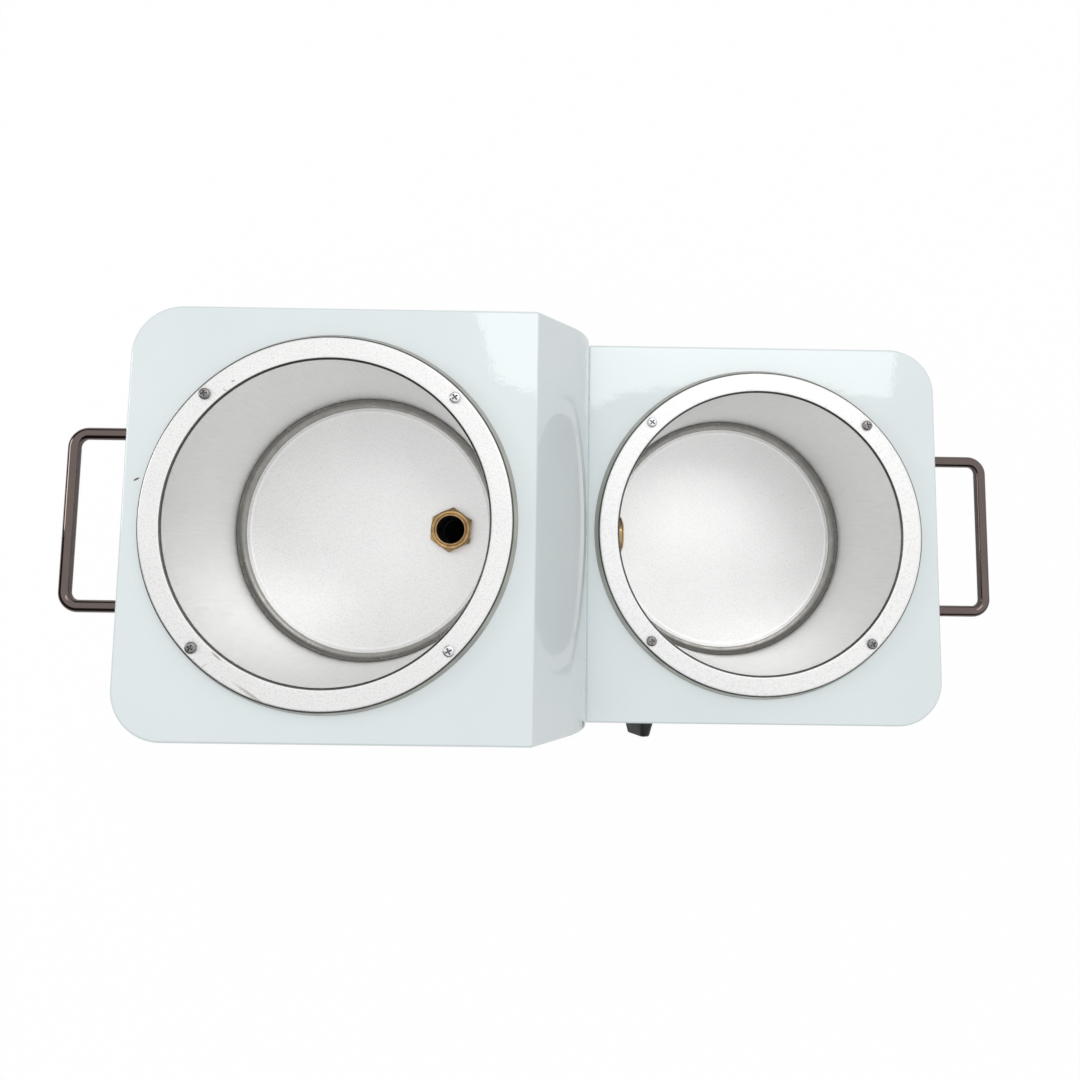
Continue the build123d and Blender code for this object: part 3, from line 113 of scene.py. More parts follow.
def drawUp(name, path, segments, fill):
    # A circle pulled up and scaled ring by ring, left in edit mode. path is (radius, height)
    deselectAll()
    r, z = path[0]
    bpy.ops.mesh.primitive_circle_add(vertices=segments, radius=r, fill_type=fill, location=(0, 0, 0))
    ob = nameNew(name)
    editAll()
    bpy.ops.transform.translate(value=(0, 0, z))
    for nextR, nextZ in path[1:]:
        pull(0, 0, nextZ - z)
        share = nextR / r
        bpy.ops.transform.resize(value=(share, share, 1), center_override=(0, 0, nextZ))
        r, z = nextR, nextZ
    return ob


def turnOnLathe(name, path, segments=96):
    # A turned solid, closed by a flat disc at both ends
    ob = drawUp(name, path, segments, "NGON")
    closeMesh()
    return ob


def turnRing(name, path, segments=96):
    # A ring of any section, its path runs round and meets itself
    ob = drawUp(name, path + path[:1], segments, "NOTHING")
    closeMesh(merge=True)
    return ob


def settle(ob, matrix=None, smooth=30):
    # The finished piece gets its place in its mesh and a smooth skin
    pick(ob)
    if matrix is not None:
        ob.matrix_world = matrix @ ob.matrix_world
    bpy.ops.object.transform_apply(location=True, rotation=True, scale=True)
    if smooth:
        bpy.ops.object.shade_smooth_by_angle(angle=math.radians(smooth))
    return ob


def applyAll(ob):
    pick(ob)
    for modifier in list(ob.modifiers):
        bpy.ops.object.modifier_apply(modifier=modifier.name)


def addBevel(ob, width, segments=3, angle=30):
    bevel = ob.modifiers.new("softEdge", "BEVEL")
    bevel.width = width
    bevel.segments = segments
    bevel.limit_method = "ANGLE"
    bevel.angle_limit = math.radians(angle)
    applyAll(ob)


def combine(ob, tool, how):
    # Boolean with a tool that is then thrown away
    cut = ob.modifiers.new("cut", "BOOLEAN")
    cut.object = tool
    cut.operation = how
    cut.solver = "EXACT"
    applyAll(ob)
    bpy.data.objects.remove(tool)


def joinTo(ob, others):
    pick(ob)
    for other in others:
        other.select_set(True)
    bpy.ops.object.join()
    return bpy.context.object


def block(name, size, at=(0, 0, 0)):
    deselectAll()
    bpy.ops.mesh.primitive_cube_add(size=1, location=at)
    ob = nameNew(name)
    ob.scale = size
    bpy.ops.object.transform_apply(location=True, rotation=True, scale=True)
    return ob


def facing(origin, out, up):
    # Local z looks out, local y looks up
    out, up = Vector(out), Vector(up)
    side = up.cross(out)
    turn = Matrix((side, up, out)).transposed().to_4x4()
    return Matrix.Translation(Vector(origin)) @ turn


def dress(ob, material):
    ob.data.materials.clear()
    ob.data.materials.append(material)


def putOn(ob, body, material, slot, *replaced):
    dress(ob, material)
    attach(ob, body)
    if replaced:
        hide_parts(*replaced)
    return ob


# Finishes. Patterns run on Object coordinates, so they stay put on the metal

def feed(tree, node, inputs):
    # Each input gets a value, or the output that it hangs on
    for socket, value in inputs.items():
        if isinstance(value, bpy.types.NodeSocket):
            tree.links.new(value, node.inputs[socket])
        else:
            node.inputs[socket].default_value = value


def addNode(tree, kind, inputs, mode=None):
    # mode is what a Mix node mixes, or what a maths node does
    node = tree.nodes.new("ShaderNode" + kind)
    if mode and kind == "Mix":
        node.data_type = mode
    elif mode:
        node.operation = mode
    feed(tree, node, inputs)
    return node


def newFinish(name, colour, metallic, roughness, coat=0.0):
    finish = bpy.data.materials.new(name)
    finish.use_nodes = True
    tree = finish.node_tree
    skin = tree.nodes["Principled BSDF"]
    feed(tree, skin, {"Base Color": (*colour, 1), "Metallic": metallic, "Roughness": roughness,
                      "Coat Weight": coat, "Coat Roughness": 0.04})
    return finish, tree, skin


def objectSpots(tree, stretch=(1, 1, 1), at=(0, 0, 0), turn=0):
    place = addNode(tree, "TexCoord", {}).outputs["Object"]
    mapping = addNode(tree, "Mapping", {"Vector": place, "Location": at, "Scale": stretch,
                                        "Rotation": (0, 0, math.radians(turn))})
    mapping.vector_type = "TEXTURE"
    return mapping.outputs["Vector"]


def noiseOf(tree, size, detail=3.0, stretch=(1, 1, 1), rough=0.55):
    noise = addNode(tree, "TexNoise", {"Scale": 1 / size, "Detail": detail, "Roughness": rough,
                                       "Vector": objectSpots(tree, stretch)})
    return noise.outputs["Fac"]


def spread(tree, value, low, high, fromLow=0.3, fromHigh=0.7):
    ranged = addNode(tree, "MapRange", {"Value": value, "From Min": fromLow, "From Max": fromHigh,
                                        "To Min": low, "To Max": high})
    return ranged.outputs["Result"]


def blendColours(tree, value, first, second, low=0.3, high=0.7):
    ramp = tree.nodes.new("ShaderNodeValToRGB")
    ramp.color_ramp.elements[0].position = low
    ramp.color_ramp.elements[0].color = (*first, 1)
    ramp.color_ramp.elements[1].position = high
    ramp.color_ramp.elements[1].color = (*second, 1)
    tree.links.new(value, ramp.inputs["Fac"])
    return ramp.outputs["Color"]


def overlay(tree, factor, under, over):
    # The colour over shows where factor is 1
    mix = addNode(tree, "Mix", {"Factor": factor, "A": under, "B": (*over, 1)}, "RGBA")
    return mix.outputs["Result"]


def bumpFrom(tree, skin, heights):
    # heights is a list of (value, depth in metres), laid over each other
    normal = {}
    for value, depth in heights:
        bump = addNode(tree, "Bump", {"Height": value, "Distance": depth, **normal})
        normal = {"Normal": bump.outputs["Normal"]}
    feed(tree, skin, {**normal, "Coat Normal": normal["Normal"]})


def specks(tree, cell, size):
    # Sparse round spots, about one to a cell
    cells = addNode(tree, "TexVoronoi", {"Scale": 1 / cell, "Vector": objectSpots(tree)})
    return spread(tree, cells.outputs["Distance"], 1, 0, size / cell * 0.6, size / cell)


def spotMask(tree, at, size, turn, ragged=3.0, solid=0.75, faded=1.3):
    # One mark on the surface, 1 inside it and 0 away from it, with a torn edge
    spot = objectSpots(tree, size, at, turn)
    torn = addNode(tree, "TexNoise", {"Scale": ragged, "Vector": spot})
    reach = addNode(tree, "VectorMath", {0: spot}, "LENGTH")
    edge = addNode(tree, "Math", {0: reach.outputs["Value"], 1: torn.outputs["Fac"]}, "ADD")
    return spread(tree, edge.outputs["Value"], 1, 0, solid + 0.5, faded + 0.5)


paint = {
    "colour": (0.80, 0.872, 0.882),
    "shade": (0.775, 0.85, 0.865),
    "roughness": 0.3,
    "peel": 2.6 * mm,
    "peelDepth": 0.02 * mm,
    "speck": (0.30, 0.27, 0.22),
    "scratchAt": (-0.2636, 0.0324, 0.255),
    "scratchSize": (2.6 * mm, 0.8 * mm, 2 * mm),
}


def powderCoat():
    finish, tree, skin = newFinish("whitePowderCoat", paint["colour"], 0, paint["roughness"], 0.9)
    cloud = noiseOf(tree, 60 * mm, 2)
    colour = blendColours(tree, cloud, paint["shade"], paint["colour"])
    dust = specks(tree, 46 * mm, 0.45 * mm)
    colour = overlay(tree, dust, colour, paint["speck"])
    mark = spotMask(tree, paint["scratchAt"], paint["scratchSize"], 28, solid=0.65, faded=0.9)
    colour = overlay(tree, mark, colour, (0.10, 0.06, 0.04))
    feed(tree, skin, {"Base Color": colour, "Coat IOR": 1.7})
    peel = noiseOf(tree, paint["peel"], 1)
    wave = noiseOf(tree, 14 * mm, 1)
    bumpFrom(tree, skin, [(wave, 0.05 * mm), (peel, paint["peelDepth"])])
    return finish


def markedUnder(tree, colour, marks):
    # Stains and scuffs of the used rim, each a torn spot laid over the bare metal
    for at, size, turn, tone in marks:
        colour = overlay(tree, spotMask(tree, at, size, turn, 4, 0.35, 1.0), colour, tone)
    return colour


def satinAluminium(name, colour, metallic, roughness, grain, contrast, depth, marks=(), stretch=(1, 1, 1)):
    # Colour in clouds of a few centimetres, under a fine grain that breaks the gloss too
    finish, tree, skin = newFinish(name, colour, metallic, roughness)
    fine = noiseOf(tree, grain, 2, stretch, rough=0.7)
    coarse = noiseOf(tree, 30 * mm, 2)
    dull = tuple(c * 0.975 for c in colour)
    colours = blendColours(tree, coarse, dull, colour)
    grainy = blendColours(tree, fine, (contrast, contrast, contrast), (1, 1, 1), 0.34, 0.52)
    mix = addNode(tree, "Mix", {"Factor": 1, "A": colours, "B": grainy}, "RGBA")
    mix.blend_type = "MULTIPLY"
    feed(tree, skin, {"Base Color": markedUnder(tree, mix.outputs["Result"], marks),
                      "Roughness": spread(tree, fine, roughness * 0.85, roughness * 1.15)})
    bumpFrom(tree, skin, [(fine, depth)])
    return finish


rimMarks = [  # place, size, turn in degrees, colour
    ((-0.2044, 0.0935, 0.2625), (1.6 * mm, 0.6 * mm, 2 * mm), 8, (0.36, 0.35, 0.34)),
    ((-0.2091, 0.0877, 0.2625), (2.4 * mm, 0.5 * mm, 2 * mm), -25, (0.55, 0.54, 0.53)),
    ((-0.2140, -0.0610, 0.2625), (4.6 * mm, 1.5 * mm, 2 * mm), -46, (0.33, 0.29, 0.28)),
    ((-0.2060, -0.0740, 0.2625), (5.5 * mm, 0.9 * mm, 2 * mm), -40, (0.52, 0.46, 0.45)),
    ((-0.2128, -0.0795, 0.2625), (3.2 * mm, 0.22 * mm, 2 * mm), 33, (0.48, 0.45, 0.44)),
    ((-0.1560, -0.1085, 0.2625), (16 * mm, 1.3 * mm, 2 * mm), -20, (0.62, 0.58, 0.57)),
    ((-0.1850, -0.0960, 0.2625), (14 * mm, 1.2 * mm, 2 * mm), -33, (0.60, 0.56, 0.55)),
]


def plainMetal(name, colour, roughness, scale=3 * mm, stretch=(1, 1, 1), tarnish=0.8, depth=0.01 * mm):
    finish, tree, skin = newFinish(name, colour, 1, roughness)
    cloud = noiseOf(tree, scale, 4, stretch)
    dull = tuple(c * tarnish for c in colour)
    feed(tree, skin, {"Base Color": blendColours(tree, cloud, dull, colour),
                      "Roughness": spread(tree, cloud, roughness * 1.3, roughness * 0.8)})
    bumpFrom(tree, skin, [(noiseOf(tree, scale * 0.3, 2, stretch), depth)])
    return finish


def moulded(name, colour, roughness, grain=0.5 * mm, depth=0.02 * mm, coat=0.0, wear=1.25):
    finish, tree, skin = newFinish(name, colour, 0, roughness, coat)
    cloud = noiseOf(tree, 12 * mm, 3)
    lighter = tuple(min(1, c * wear + 0.004) for c in colour)
    feed(tree, skin, {"Base Color": blendColours(tree, cloud, colour, lighter),
                      "Roughness": spread(tree, cloud, roughness * 0.85, roughness * 1.15)})
    bumpFrom(tree, skin, [(noiseOf(tree, grain, 2), depth)])
    return finish


def woven(name, colour, pitch, depth):
    # Crossed threads with fuzz between them
    finish, tree, skin = newFinish(name, colour, 0, 0.9)
    threads = []
    for axis in ("X", "Z"):
        wave = addNode(tree, "TexWave", {"Scale": 0.31 / pitch, "Distortion": 1.5,
                                         "Vector": objectSpots(tree)})
        wave.bands_direction = axis
        threads.append(wave.outputs["Fac"])
    fuzz = noiseOf(tree, pitch * 0.6, 4)
    dull = tuple(c * 0.7 for c in colour)
    feed(tree, skin, {"Base Color": blendColours(tree, fuzz, dull, colour), "Sheen Weight": 0.3})
    bumpFrom(tree, skin, [(threads[0], depth), (threads[1], depth), (fuzz, depth)])
    return finish


finishes = {
    "whitePaint": powderCoat(),
    "potMetal": satinAluminium("beadBlastedRim", (0.96, 0.96, 0.955), 0.7, 0.5, 1.3 * mm, 0.86,
                               0.05 * mm, rimMarks),
    "potFloor": satinAluminium("beadBlastedFloor", (0.96, 0.96, 0.955), 1, 0.42, 1.3 * mm, 0.88, 0.05 * mm),
    "potWall": satinAluminium("drawnWall", (0.93, 0.93, 0.925), 1, 0.4, 0.9 * mm, 0.93, 0.01 * mm,
                              stretch=(1, 1, 30)),
    # potCorner is painted shade: the concave floor-to-wall fillet gets a dark metal colour in place of the
    # shade and dark reflection there
    "potCorner": plainMetal("paintedShadeCorner", (0.34, 0.33, 0.31), 0.3, 6 * mm, tarnish=0.85),
    # potSkirt is painted shade: the sloping outer skirt of the rim gets a darker copy of the pot aluminium
    "potSkirt": plainMetal("paintedShadeSkirt", (0.56, 0.54, 0.49), 0.38, 20 * mm, tarnish=0.85),
    "potEdge": plainMetal("edgeShadow", (0.17, 0.165, 0.155), 0.4, 3 * mm, tarnish=0.8),
    "brass": plainMetal("turnedBrass", (0.60, 0.40, 0.19), 0.1, 4 * mm, tarnish=0.6),
    # paintedHoleShade is painted shade: a dark colour put in the fitting bores, on the drain elbow and in
    # the screw recesses
    "paintedHoleShade": plainMetal("paintedShadeInHoles", (0.26, 0.27, 0.29), 0.45, 3 * mm),
    # The handle chrome's dark warm base colour is painted reflection: it stands in for a dark room mirrored
    # in the rods
    "chrome": plainMetal("chromeWithPaintedDarkReflection", (0.17, 0.135, 0.125), 0.06, 30 * mm, tarnish=0.9, depth=0.002 * mm),
    "steel": plainMetal("stainlessHeads", (0.86, 0.86, 0.86), 0.3, 1.5 * mm, tarnish=0.9),
    "tarnished": plainMetal("tarnishedHeads", (0.42, 0.41, 0.40), 0.3, 1.2 * mm, tarnish=0.45),
    "zinc": plainMetal("brightZinc", (0.60, 0.62, 0.64), 0.35, 2 * mm),
    "sheetZinc": plainMetal("zincSheet", (0.62, 0.64, 0.65), 0.42, 18 * mm, tarnish=0.85),
    "stainedSteel": plainMetal("heatStainedSteel", (0.55, 0.49, 0.40), 0.4, 8 * mm, tarnish=0.6),
    "satinSteel": plainMetal("brushedSteel", (0.66, 0.66, 0.67), 0.3, 5 * mm, (1, 1, 0.04)),
    "copper": plainMetal("drawnCopper", (0.78, 0.42, 0.27), 0.28, 6 * mm),
    "nickel": plainMetal("nickelPins", (0.68, 0.65, 0.58), 0.25, 2 * mm),
    "rubber": moulded("footRubber", (0.022, 0.022, 0.023), 0.75, 0.8 * mm, 0.05 * mm),
    "knob": moulded("knobPlastic", (0.018, 0.018, 0.02), 0.42, 0.35 * mm, 0.015 * mm),
    "switch": moulded("switchPlastic", (0.02, 0.02, 0.021), 0.35, 0.3 * mm, 0.01 * mm),
    "grip": moulded("dippedVinyl", (0.50, 0.02, 0.015), 0.38, 3 * mm, 0.05 * mm, coat=0.4),
    "silicone": moulded("redSilicone", (0.42, 0.06, 0.035), 0.6, 0.6 * mm, 0.02 * mm),
    "sleeve": moulded("wireSleeve", (0.45, 0.20, 0.07), 0.55, 0.5 * mm, 0.02 * mm),
    "nylon": moulded("paleNylon", (0.80, 0.79, 0.74), 0.45, 0.6 * mm, 0.02 * mm, wear=1.05),
    "whiteSeat": moulded("whiteSeatPlastic", (0.86, 0.86, 0.84), 0.4, 0.5 * mm, 0.01 * mm, wear=1.04),
    "board": moulded("pressedBoard", (0.42, 0.37, 0.29), 0.8, 0.7 * mm, 0.06 * mm),
    "ceramic": moulded("cutoutBody", (0.62, 0.56, 0.45), 0.55, 0.7 * mm, 0.03 * mm),
    "wool": woven("glassWoolMat", (0.80, 0.77, 0.68), 2.2 * mm, 0.25 * mm),
    "print": moulded("panelPrint", (0.035, 0.037, 0.04), 0.5, 0.4 * mm, 0.004 * mm),
    "inlay": moulded("whiteInlay", (0.86, 0.86, 0.85), 0.45, 0.5 * mm, 0.004 * mm, wear=1.05),
}


def clearRed(name, colour, glow):
    finish, tree, skin = newFinish(name, colour, 0, 0.12, 0.5)
    cloud = noiseOf(tree, 5 * mm, 2)
    darker = tuple(c * 0.75 for c in colour)
    feed(tree, skin, {"Base Color": blendColours(tree, cloud, darker, colour), "IOR": 1.49,
                      "Transmission Weight": glow})
    bumpFrom(tree, skin, [(noiseOf(tree, 2 * mm, 1), 0.01 * mm)])
    return finish


finishes["rocker"] = clearRed("clearRedPlastic", (0.60, 0.015, 0.01), 0.08)
finishes["lens"] = clearRed("amberLens", (0.85, 0.22, 0.02), 0.35)
print("finishes mixed:", len(finishes))

# What each CAD node is made of, the ones replaced further down too
nodeFinish = {
    "whitePaint": ["upper_case", "lower_case"],
    "sheetZinc": ["base_plate"],
    "board": ["upper_rim_ring", "lower_rim_ring"],
    "brass": ["valve_body", "valve_cap", "gland_nut", "pipe_coupling", "lock_nuts", "drain_fitting",
              "inlet_fitting"],
    # The drain elbow, seen only down the bore, is painted shade all over
    "paintedHoleShade": ["drain_elbow"],
    "copper": ["transfer_pipe", "upper_sensor", "lower_sensor"],
    "nickel": ["valve_ball", "inlet_pins"],
    "satinSteel": ["valve_stem", "upper_spindle", "lower_spindle", "valve_lever", "bulb_clips"],
    "steel": ["rim_screws", "lever_screw"],
    "zinc": ["foot_screws", "case_screws", "panel_screws", "inner_screws", "handle_screws", "m4_nuts",
             "upper_thermostat", "lower_thermostat"],
    "rubber": ["rubber_feet"],
    "silicone": ["drain_washers", "inlet_saddles"],
    "whiteSeat": ["valve_seats"],
    "switch": ["stem_bush", "upper_switch_frame", "lower_switch_frame", "power_inlet"],
    "grip": ["lever_grip"],
    "knob": ["upper_knob", "lower_knob"],
    "rocker": ["upper_rocker", "lower_rocker"],
    "lens": ["upper_lamp", "lower_lamp"],
    "stainedSteel": ["upper_band_heater", "lower_band_heater"],
    "wool": ["upper_jacket", "lower_jacket"],
    "ceramic": ["thermal_cutouts"],
    "nylon": ["terminal_block"],
    "sleeve": ["mains_wires", "heater_wires"],
    "chrome": ["left_handle", "right_handle"],
    "potMetal": ["upper_pot", "lower_pot"],
}
for finishName, members in nodeFinish.items():
    for member in members:
        dress(nodes[member], finishes[finishName])


# Loose CAD triangles are welded and smoothed as they are shown
def smoothSkin(ob, angle=28):
    for face in ob.data.polygons:
        face.use_smooth = True
    weld = ob.modifiers.new("weld", "WELD")
    weld.merge_threshold = 2 * sameSpot
    split = ob.modifiers.new("creases", "EDGE_SPLIT")
    split.split_angle = math.radians(angle)


for ob in nodes.values():
    smoothSkin(ob)
print("nodes dressed")

# Spun pots. The rim is turned out flat, with a flared skirt that stands on the deck
pot = {
    "innerR": 100 * mm,
    "wall": 1.5 * mm,
    "floorBend": 6.3 * mm,
    "rimInnerBend": 2.2 * mm,
    "rimOuterBend": 2.4 * mm,
    "rimRise": 7.5 * mm,
    "flare": 3 * mm,
    "beadR": 91.4 * mm,
    "beadWidth": 3.6 * mm,
    "beadHeight": 0.25 * mm,
    "screwR": 109.2 * mm,
    "dimple": 0.4 * mm,
    "dimpleR": 6 * mm,
    "flatMiddleR": 60 * mm,
    "flatRings": (4.2, 5.4, 6.6, 7.8, 9.2, 10.6, 11.8),  # millimetres out from the inner wall
    "holeR": 13.3 * mm,
    "drillLength": 20 * mm,
    "lineFrom": 0.25 * mm,  # the dark lines at both edges of the rim start this far down
    "innerLine": 1.6 * mm,
    "innerLineWidth": 1.4 * mm,
    "outerLine": 1.9 * mm,
    "segments": 240,
}
potFinishes = ("potMetal", "potWall", "potCorner", "potSkirt", "potEdge", "potFloor")


def potPart(away, height, floor, rim, rimR):
    # Which finish a face takes, from how far out and how high it lies
    p = pot
    if away > rimR - 0.3 * mm and height < rim - p["lineFrom"]:
        # Below the dark edge line the outer skirt takes potSkirt, a painted shade
        return "potEdge" if height > rim - p["outerLine"] else "potSkirt"
    underRim = away > p["innerR"] + p["wall"] + 1 * mm and height < rim - 0.2 * mm
    if height < rim - p["innerLine"] or underRim:
        # The floor fillet takes potCorner, a band of painted shade
        if away > p["innerR"] - p["floorBend"] and height < floor + p["floorBend"] - 0.4 * mm:
            return "potCorner"
        return "potFloor" if height < floor + 1 * mm else "potWall"
    if height < rim - p["lineFrom"] and away < p["innerR"] + p["innerLineWidth"]:
        return "potEdge"
    return "potMetal"


def spinPot(label, holeAt, holeTurn):
    node = label + "_pot"
    low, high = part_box(node)
    middle = (low + high) / 2
    floor, rim = low.z + pot["wall"], high.z
    deck = rim - pot["rimRise"]
    skirtR = (high.x - low.x) / 2
    rimR = skirtR - pot["flare"]
    outR = pot["innerR"] + pot["wall"]
    bead = []
    for step in range(9):
        share = step / 8
        lift = pot["beadHeight"] * (1 - math.cos(2 * math.pi * share)) / 2
        bead.append((pot["beadR"] + (share - 0.5) * pot["beadWidth"], floor + lift, 0))
    flat = [(pot["innerR"] + r * mm, rim, 0) for r in pot["flatRings"]]
    corners = [(pot["flatMiddleR"], floor, 0)] + bead + [
        (pot["innerR"], floor, pot["floorBend"]),
        (pot["innerR"], rim, pot["rimInnerBend"]),
    ] + flat + [
        (rimR, rim, pot["rimOuterBend"]),
        (skirtR, deck, 0),
        (skirtR - pot["wall"], deck, 0),
        (rimR - pot["wall"], rim - pot["wall"], 0.5 * mm),
        (outR, rim - pot["wall"], 0.3 * mm),
        (outR, floor - pot["wall"], pot["floorBend"] + pot["wall"]),
        (pot["flatMiddleR"], floor - pot["wall"], 0),
    ]
    ob = turnOnLathe(label + "Pot", roundedPath(corners, 7), pot["segments"])
    deselectAll()
    bpy.ops.mesh.primitive_cylinder_add(vertices=96, radius=pot["holeR"], depth=pot["drillLength"])
    drill = bpy.context.object
    drill.matrix_world = Matrix.Translation(holeAt - Vector((middle.x, middle.y, 0))) @ holeTurn
    combine(ob, drill, "DIFFERENCE")
    for corner in ob.data.vertices:
        if corner.co.z > rim - 0.01 * mm:
            for screw in range(4):
                turn = math.radians(45 + 90 * screw)
                spot = Vector((math.cos(turn), math.sin(turn))) * pot["screwR"]
                near = (corner.co.xy - spot).length / pot["dimpleR"]
                if near < 1:
                    corner.co.z -= pot["dimple"] * (1 + math.cos(math.pi * near)) / 2
    settle(ob, Matrix.Translation((middle.x, middle.y, 0)), 35)
    putOn(ob, "case", finishes["potMetal"], "pot_aluminium", node)
    for other in potFinishes[1:]:
        ob.data.materials.append(finishes[other])
    for face in ob.data.polygons:
        away = (face.center.xy - middle.xy).length
        face.material_index = potFinishes.index(potPart(away, face.center.z, floor, rim, rimR))


drainLow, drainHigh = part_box("drain_fitting")
inletLow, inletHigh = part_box("inlet_fitting")
drainMiddle = (drainLow + drainHigh) / 2
inletMiddle = (inletLow + inletHigh) / 2
upright = Matrix.Identity(4)
alongPipe = Matrix.Rotation(math.radians(90), 4, "Y")
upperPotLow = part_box("upper_pot")[0]
spinPot("upper", Vector((drainMiddle.x, drainMiddle.y, upperPotLow.z)), upright)
inletWall = middleOf("lower_pot").x - pot["innerR"]
spinPot("lower", Vector((inletWall, inletMiddle.y, inletMiddle.z)), alongPipe)
print("pots spun")

# Brass fittings: a hexagon rounded off on top to a bead, with a thin lip round the bore
fitting = {
    "acrossFlats": 30 * mm,
    "headHeight": 9.5 * mm,
    "lipR": 11.6 * mm,
    "lipHeight": 0.8 * mm,
    "boreR": 10.5 * mm,
    "beadR": 13.4 * mm,
    "beadRound": 1.9 * mm,
    "borePitch": 1.5 * mm,
    "shankR": 13.2 * mm,
    "threadPitch": 1.8 * mm,
}


def hexFitting(name, node, shank, matrix):
    f = fitting
    cornerR = f["acrossFlats"] / 2 / math.cos(math.radians(30))
    top = f["headHeight"]
    beadR, beadRound = f["beadR"], f["beadRound"]
    shell = [(f["boreR"], -0.01 * mm), (cornerR + 0.5 * mm, -0.01 * mm)]
    shell += [(cornerR + 0.5 * mm, 0.42 * top), (beadR + beadRound + 0.1 * mm, top - beadRound * 1.5)]
    for step in range(15):
        turn = math.radians(10 * step - 5)
        shell.append((beadR + beadRound * math.cos(turn), top - beadRound + beadRound * math.sin(turn)))
    shell += [(f["lipR"], top - 0.6 * mm), (f["lipR"], top + 0.5 * mm)]
    shell += [(f["lipR"] - 0.3 * mm, top + f["lipHeight"]), (f["boreR"] + 0.3 * mm, top + f["lipHeight"])]
    shell += [(f["boreR"], top + 0.5 * mm)]
    for step in range(6):
        level = top - step * f["borePitch"]
        shell += [(f["boreR"] + 0.25 * mm, level - 0.75 * mm), (f["boreR"], level - 1.4 * mm)]
    head = turnRing(name, shell, 120)
    deselectAll()
    bpy.ops.mesh.primitive_cylinder_add(vertices=6, radius=cornerR, depth=40 * mm, location=(0, 0, 0))
    prism = bpy.context.object
    combine(head, prism, "INTERSECT")
    addBevel(head, 0.15 * mm, 2, 35)
    thread = [(f["boreR"], 0), (f["shankR"], 0)]
    ridge, pitch = 0, f["threadPitch"]
    while ridge + pitch < shank:
        thread += [(f["shankR"] - 0.7 * mm, -ridge - pitch / 2), (f["shankR"], -ridge - pitch)]
        ridge += pitch
    thread += [(f["shankR"] - 0.8 * mm, -shank), (f["boreR"], -shank)]
    tube = turnRing(name + "Shank", thread, 72)
    head = joinTo(head, [tube])
    settle(head, matrix, 40)
    putOn(head, "case", finishes["brass"], "brass", node)
    # The bore faces take the painted shade finish
    head.data.materials.append(finishes["paintedHoleShade"])
    outward = matrix.to_3x3() @ Vector((0, 0, 1))
    for face in head.data.polygons:
        arm = face.center - matrix.translation
        height = arm.dot(outward)
        away = (arm - outward * height).length
        if away < f["boreR"] + 0.3 * mm and height < top - 0.4 * mm:
            face.material_index = 1


washer = 1.5 * mm
drainSeat = Vector((drainMiddle.x, drainMiddle.y, upperPotLow.z + pot["wall"] + washer))
hexTurn = Matrix.Rotation(math.radians(55.5), 4, "Z")
hexFitting("drainFitting", "drain_fitting", drainSeat.z - drainLow.z,
           Matrix.Translation(drainSeat) @ hexTurn)
inletSeatX = inletHigh.x - fitting["headHeight"] - fitting["lipHeight"]
inletSeat = Vector((inletSeatX, inletMiddle.y, inletMiddle.z))
hexFitting("inletFitting", "inlet_fitting", inletSeatX - inletLow.x,
           Matrix.Translation(inletSeat) @ alongPipe)
print("brass fittings turned")

# Pan head screws, modelled once for each kind
crossRecess = {"across": 4.2 * mm, "slot": 1.05 * mm, "depth": 1.5 * mm}
screwPitch = 0.7 * mm


def panScrew(name, headR, headHeight, shankR, shank):
    # Head underside at the origin, shank below
    dome = [(0.5 * headR, headHeight)]
    for step in range(1, 8):
        turn = math.radians(90 - 12.5 * step)
        r = headR * (0.5 + 0.5 * math.cos(turn))
        dome.append((r, headHeight * (0.45 + 0.55 * math.sin(turn))))
    dome += [(headR, headHeight * 0.28), (headR - 0.15 * mm, 0), (shankR, 0)]
    ridge = 0
    while ridge + screwPitch < shank - 1 * mm:
        dome += [(shankR * 0.84, -ridge - screwPitch / 2), (shankR, -ridge - screwPitch)]
        ridge += screwPitch
    dome += [(shankR * 0.7, -shank)]
    screw = turnOnLathe(name, dome, 40)
    for turn in (0, 90):
        bar = block("bar", (crossRecess["across"], crossRecess["slot"], 2 * crossRecess["depth"]),
                    (0, 0, headHeight + 0.05 * mm))
        bar.rotation_euler = (0, 0, math.radians(turn))
        combine(screw, bar, "DIFFERENCE")
    return screw


def shadeRecess(screw, headHeight, seat):
    # Painted shade darkens the cross recess. seat is where the underside of the head lies, z out
    screw.data.materials.append(finishes["paintedHoleShade"])
    toHead = seat.inverted()
    for face in screw.data.polygons:
        spot = toHead @ face.center
        inside = spot.xy.length < crossRecess["across"] / 2 + 0.01 * mm
        face.material_index = 1 if inside and 0 < spot.z < headHeight - 0.05 * mm else 0


def copyOf(ob, name):
    twin = ob.copy()
    twin.data = ob.data.copy()
    twin.name = name
    twin.data.name = name
    bpy.context.scene.collection.objects.link(twin)
    return twin


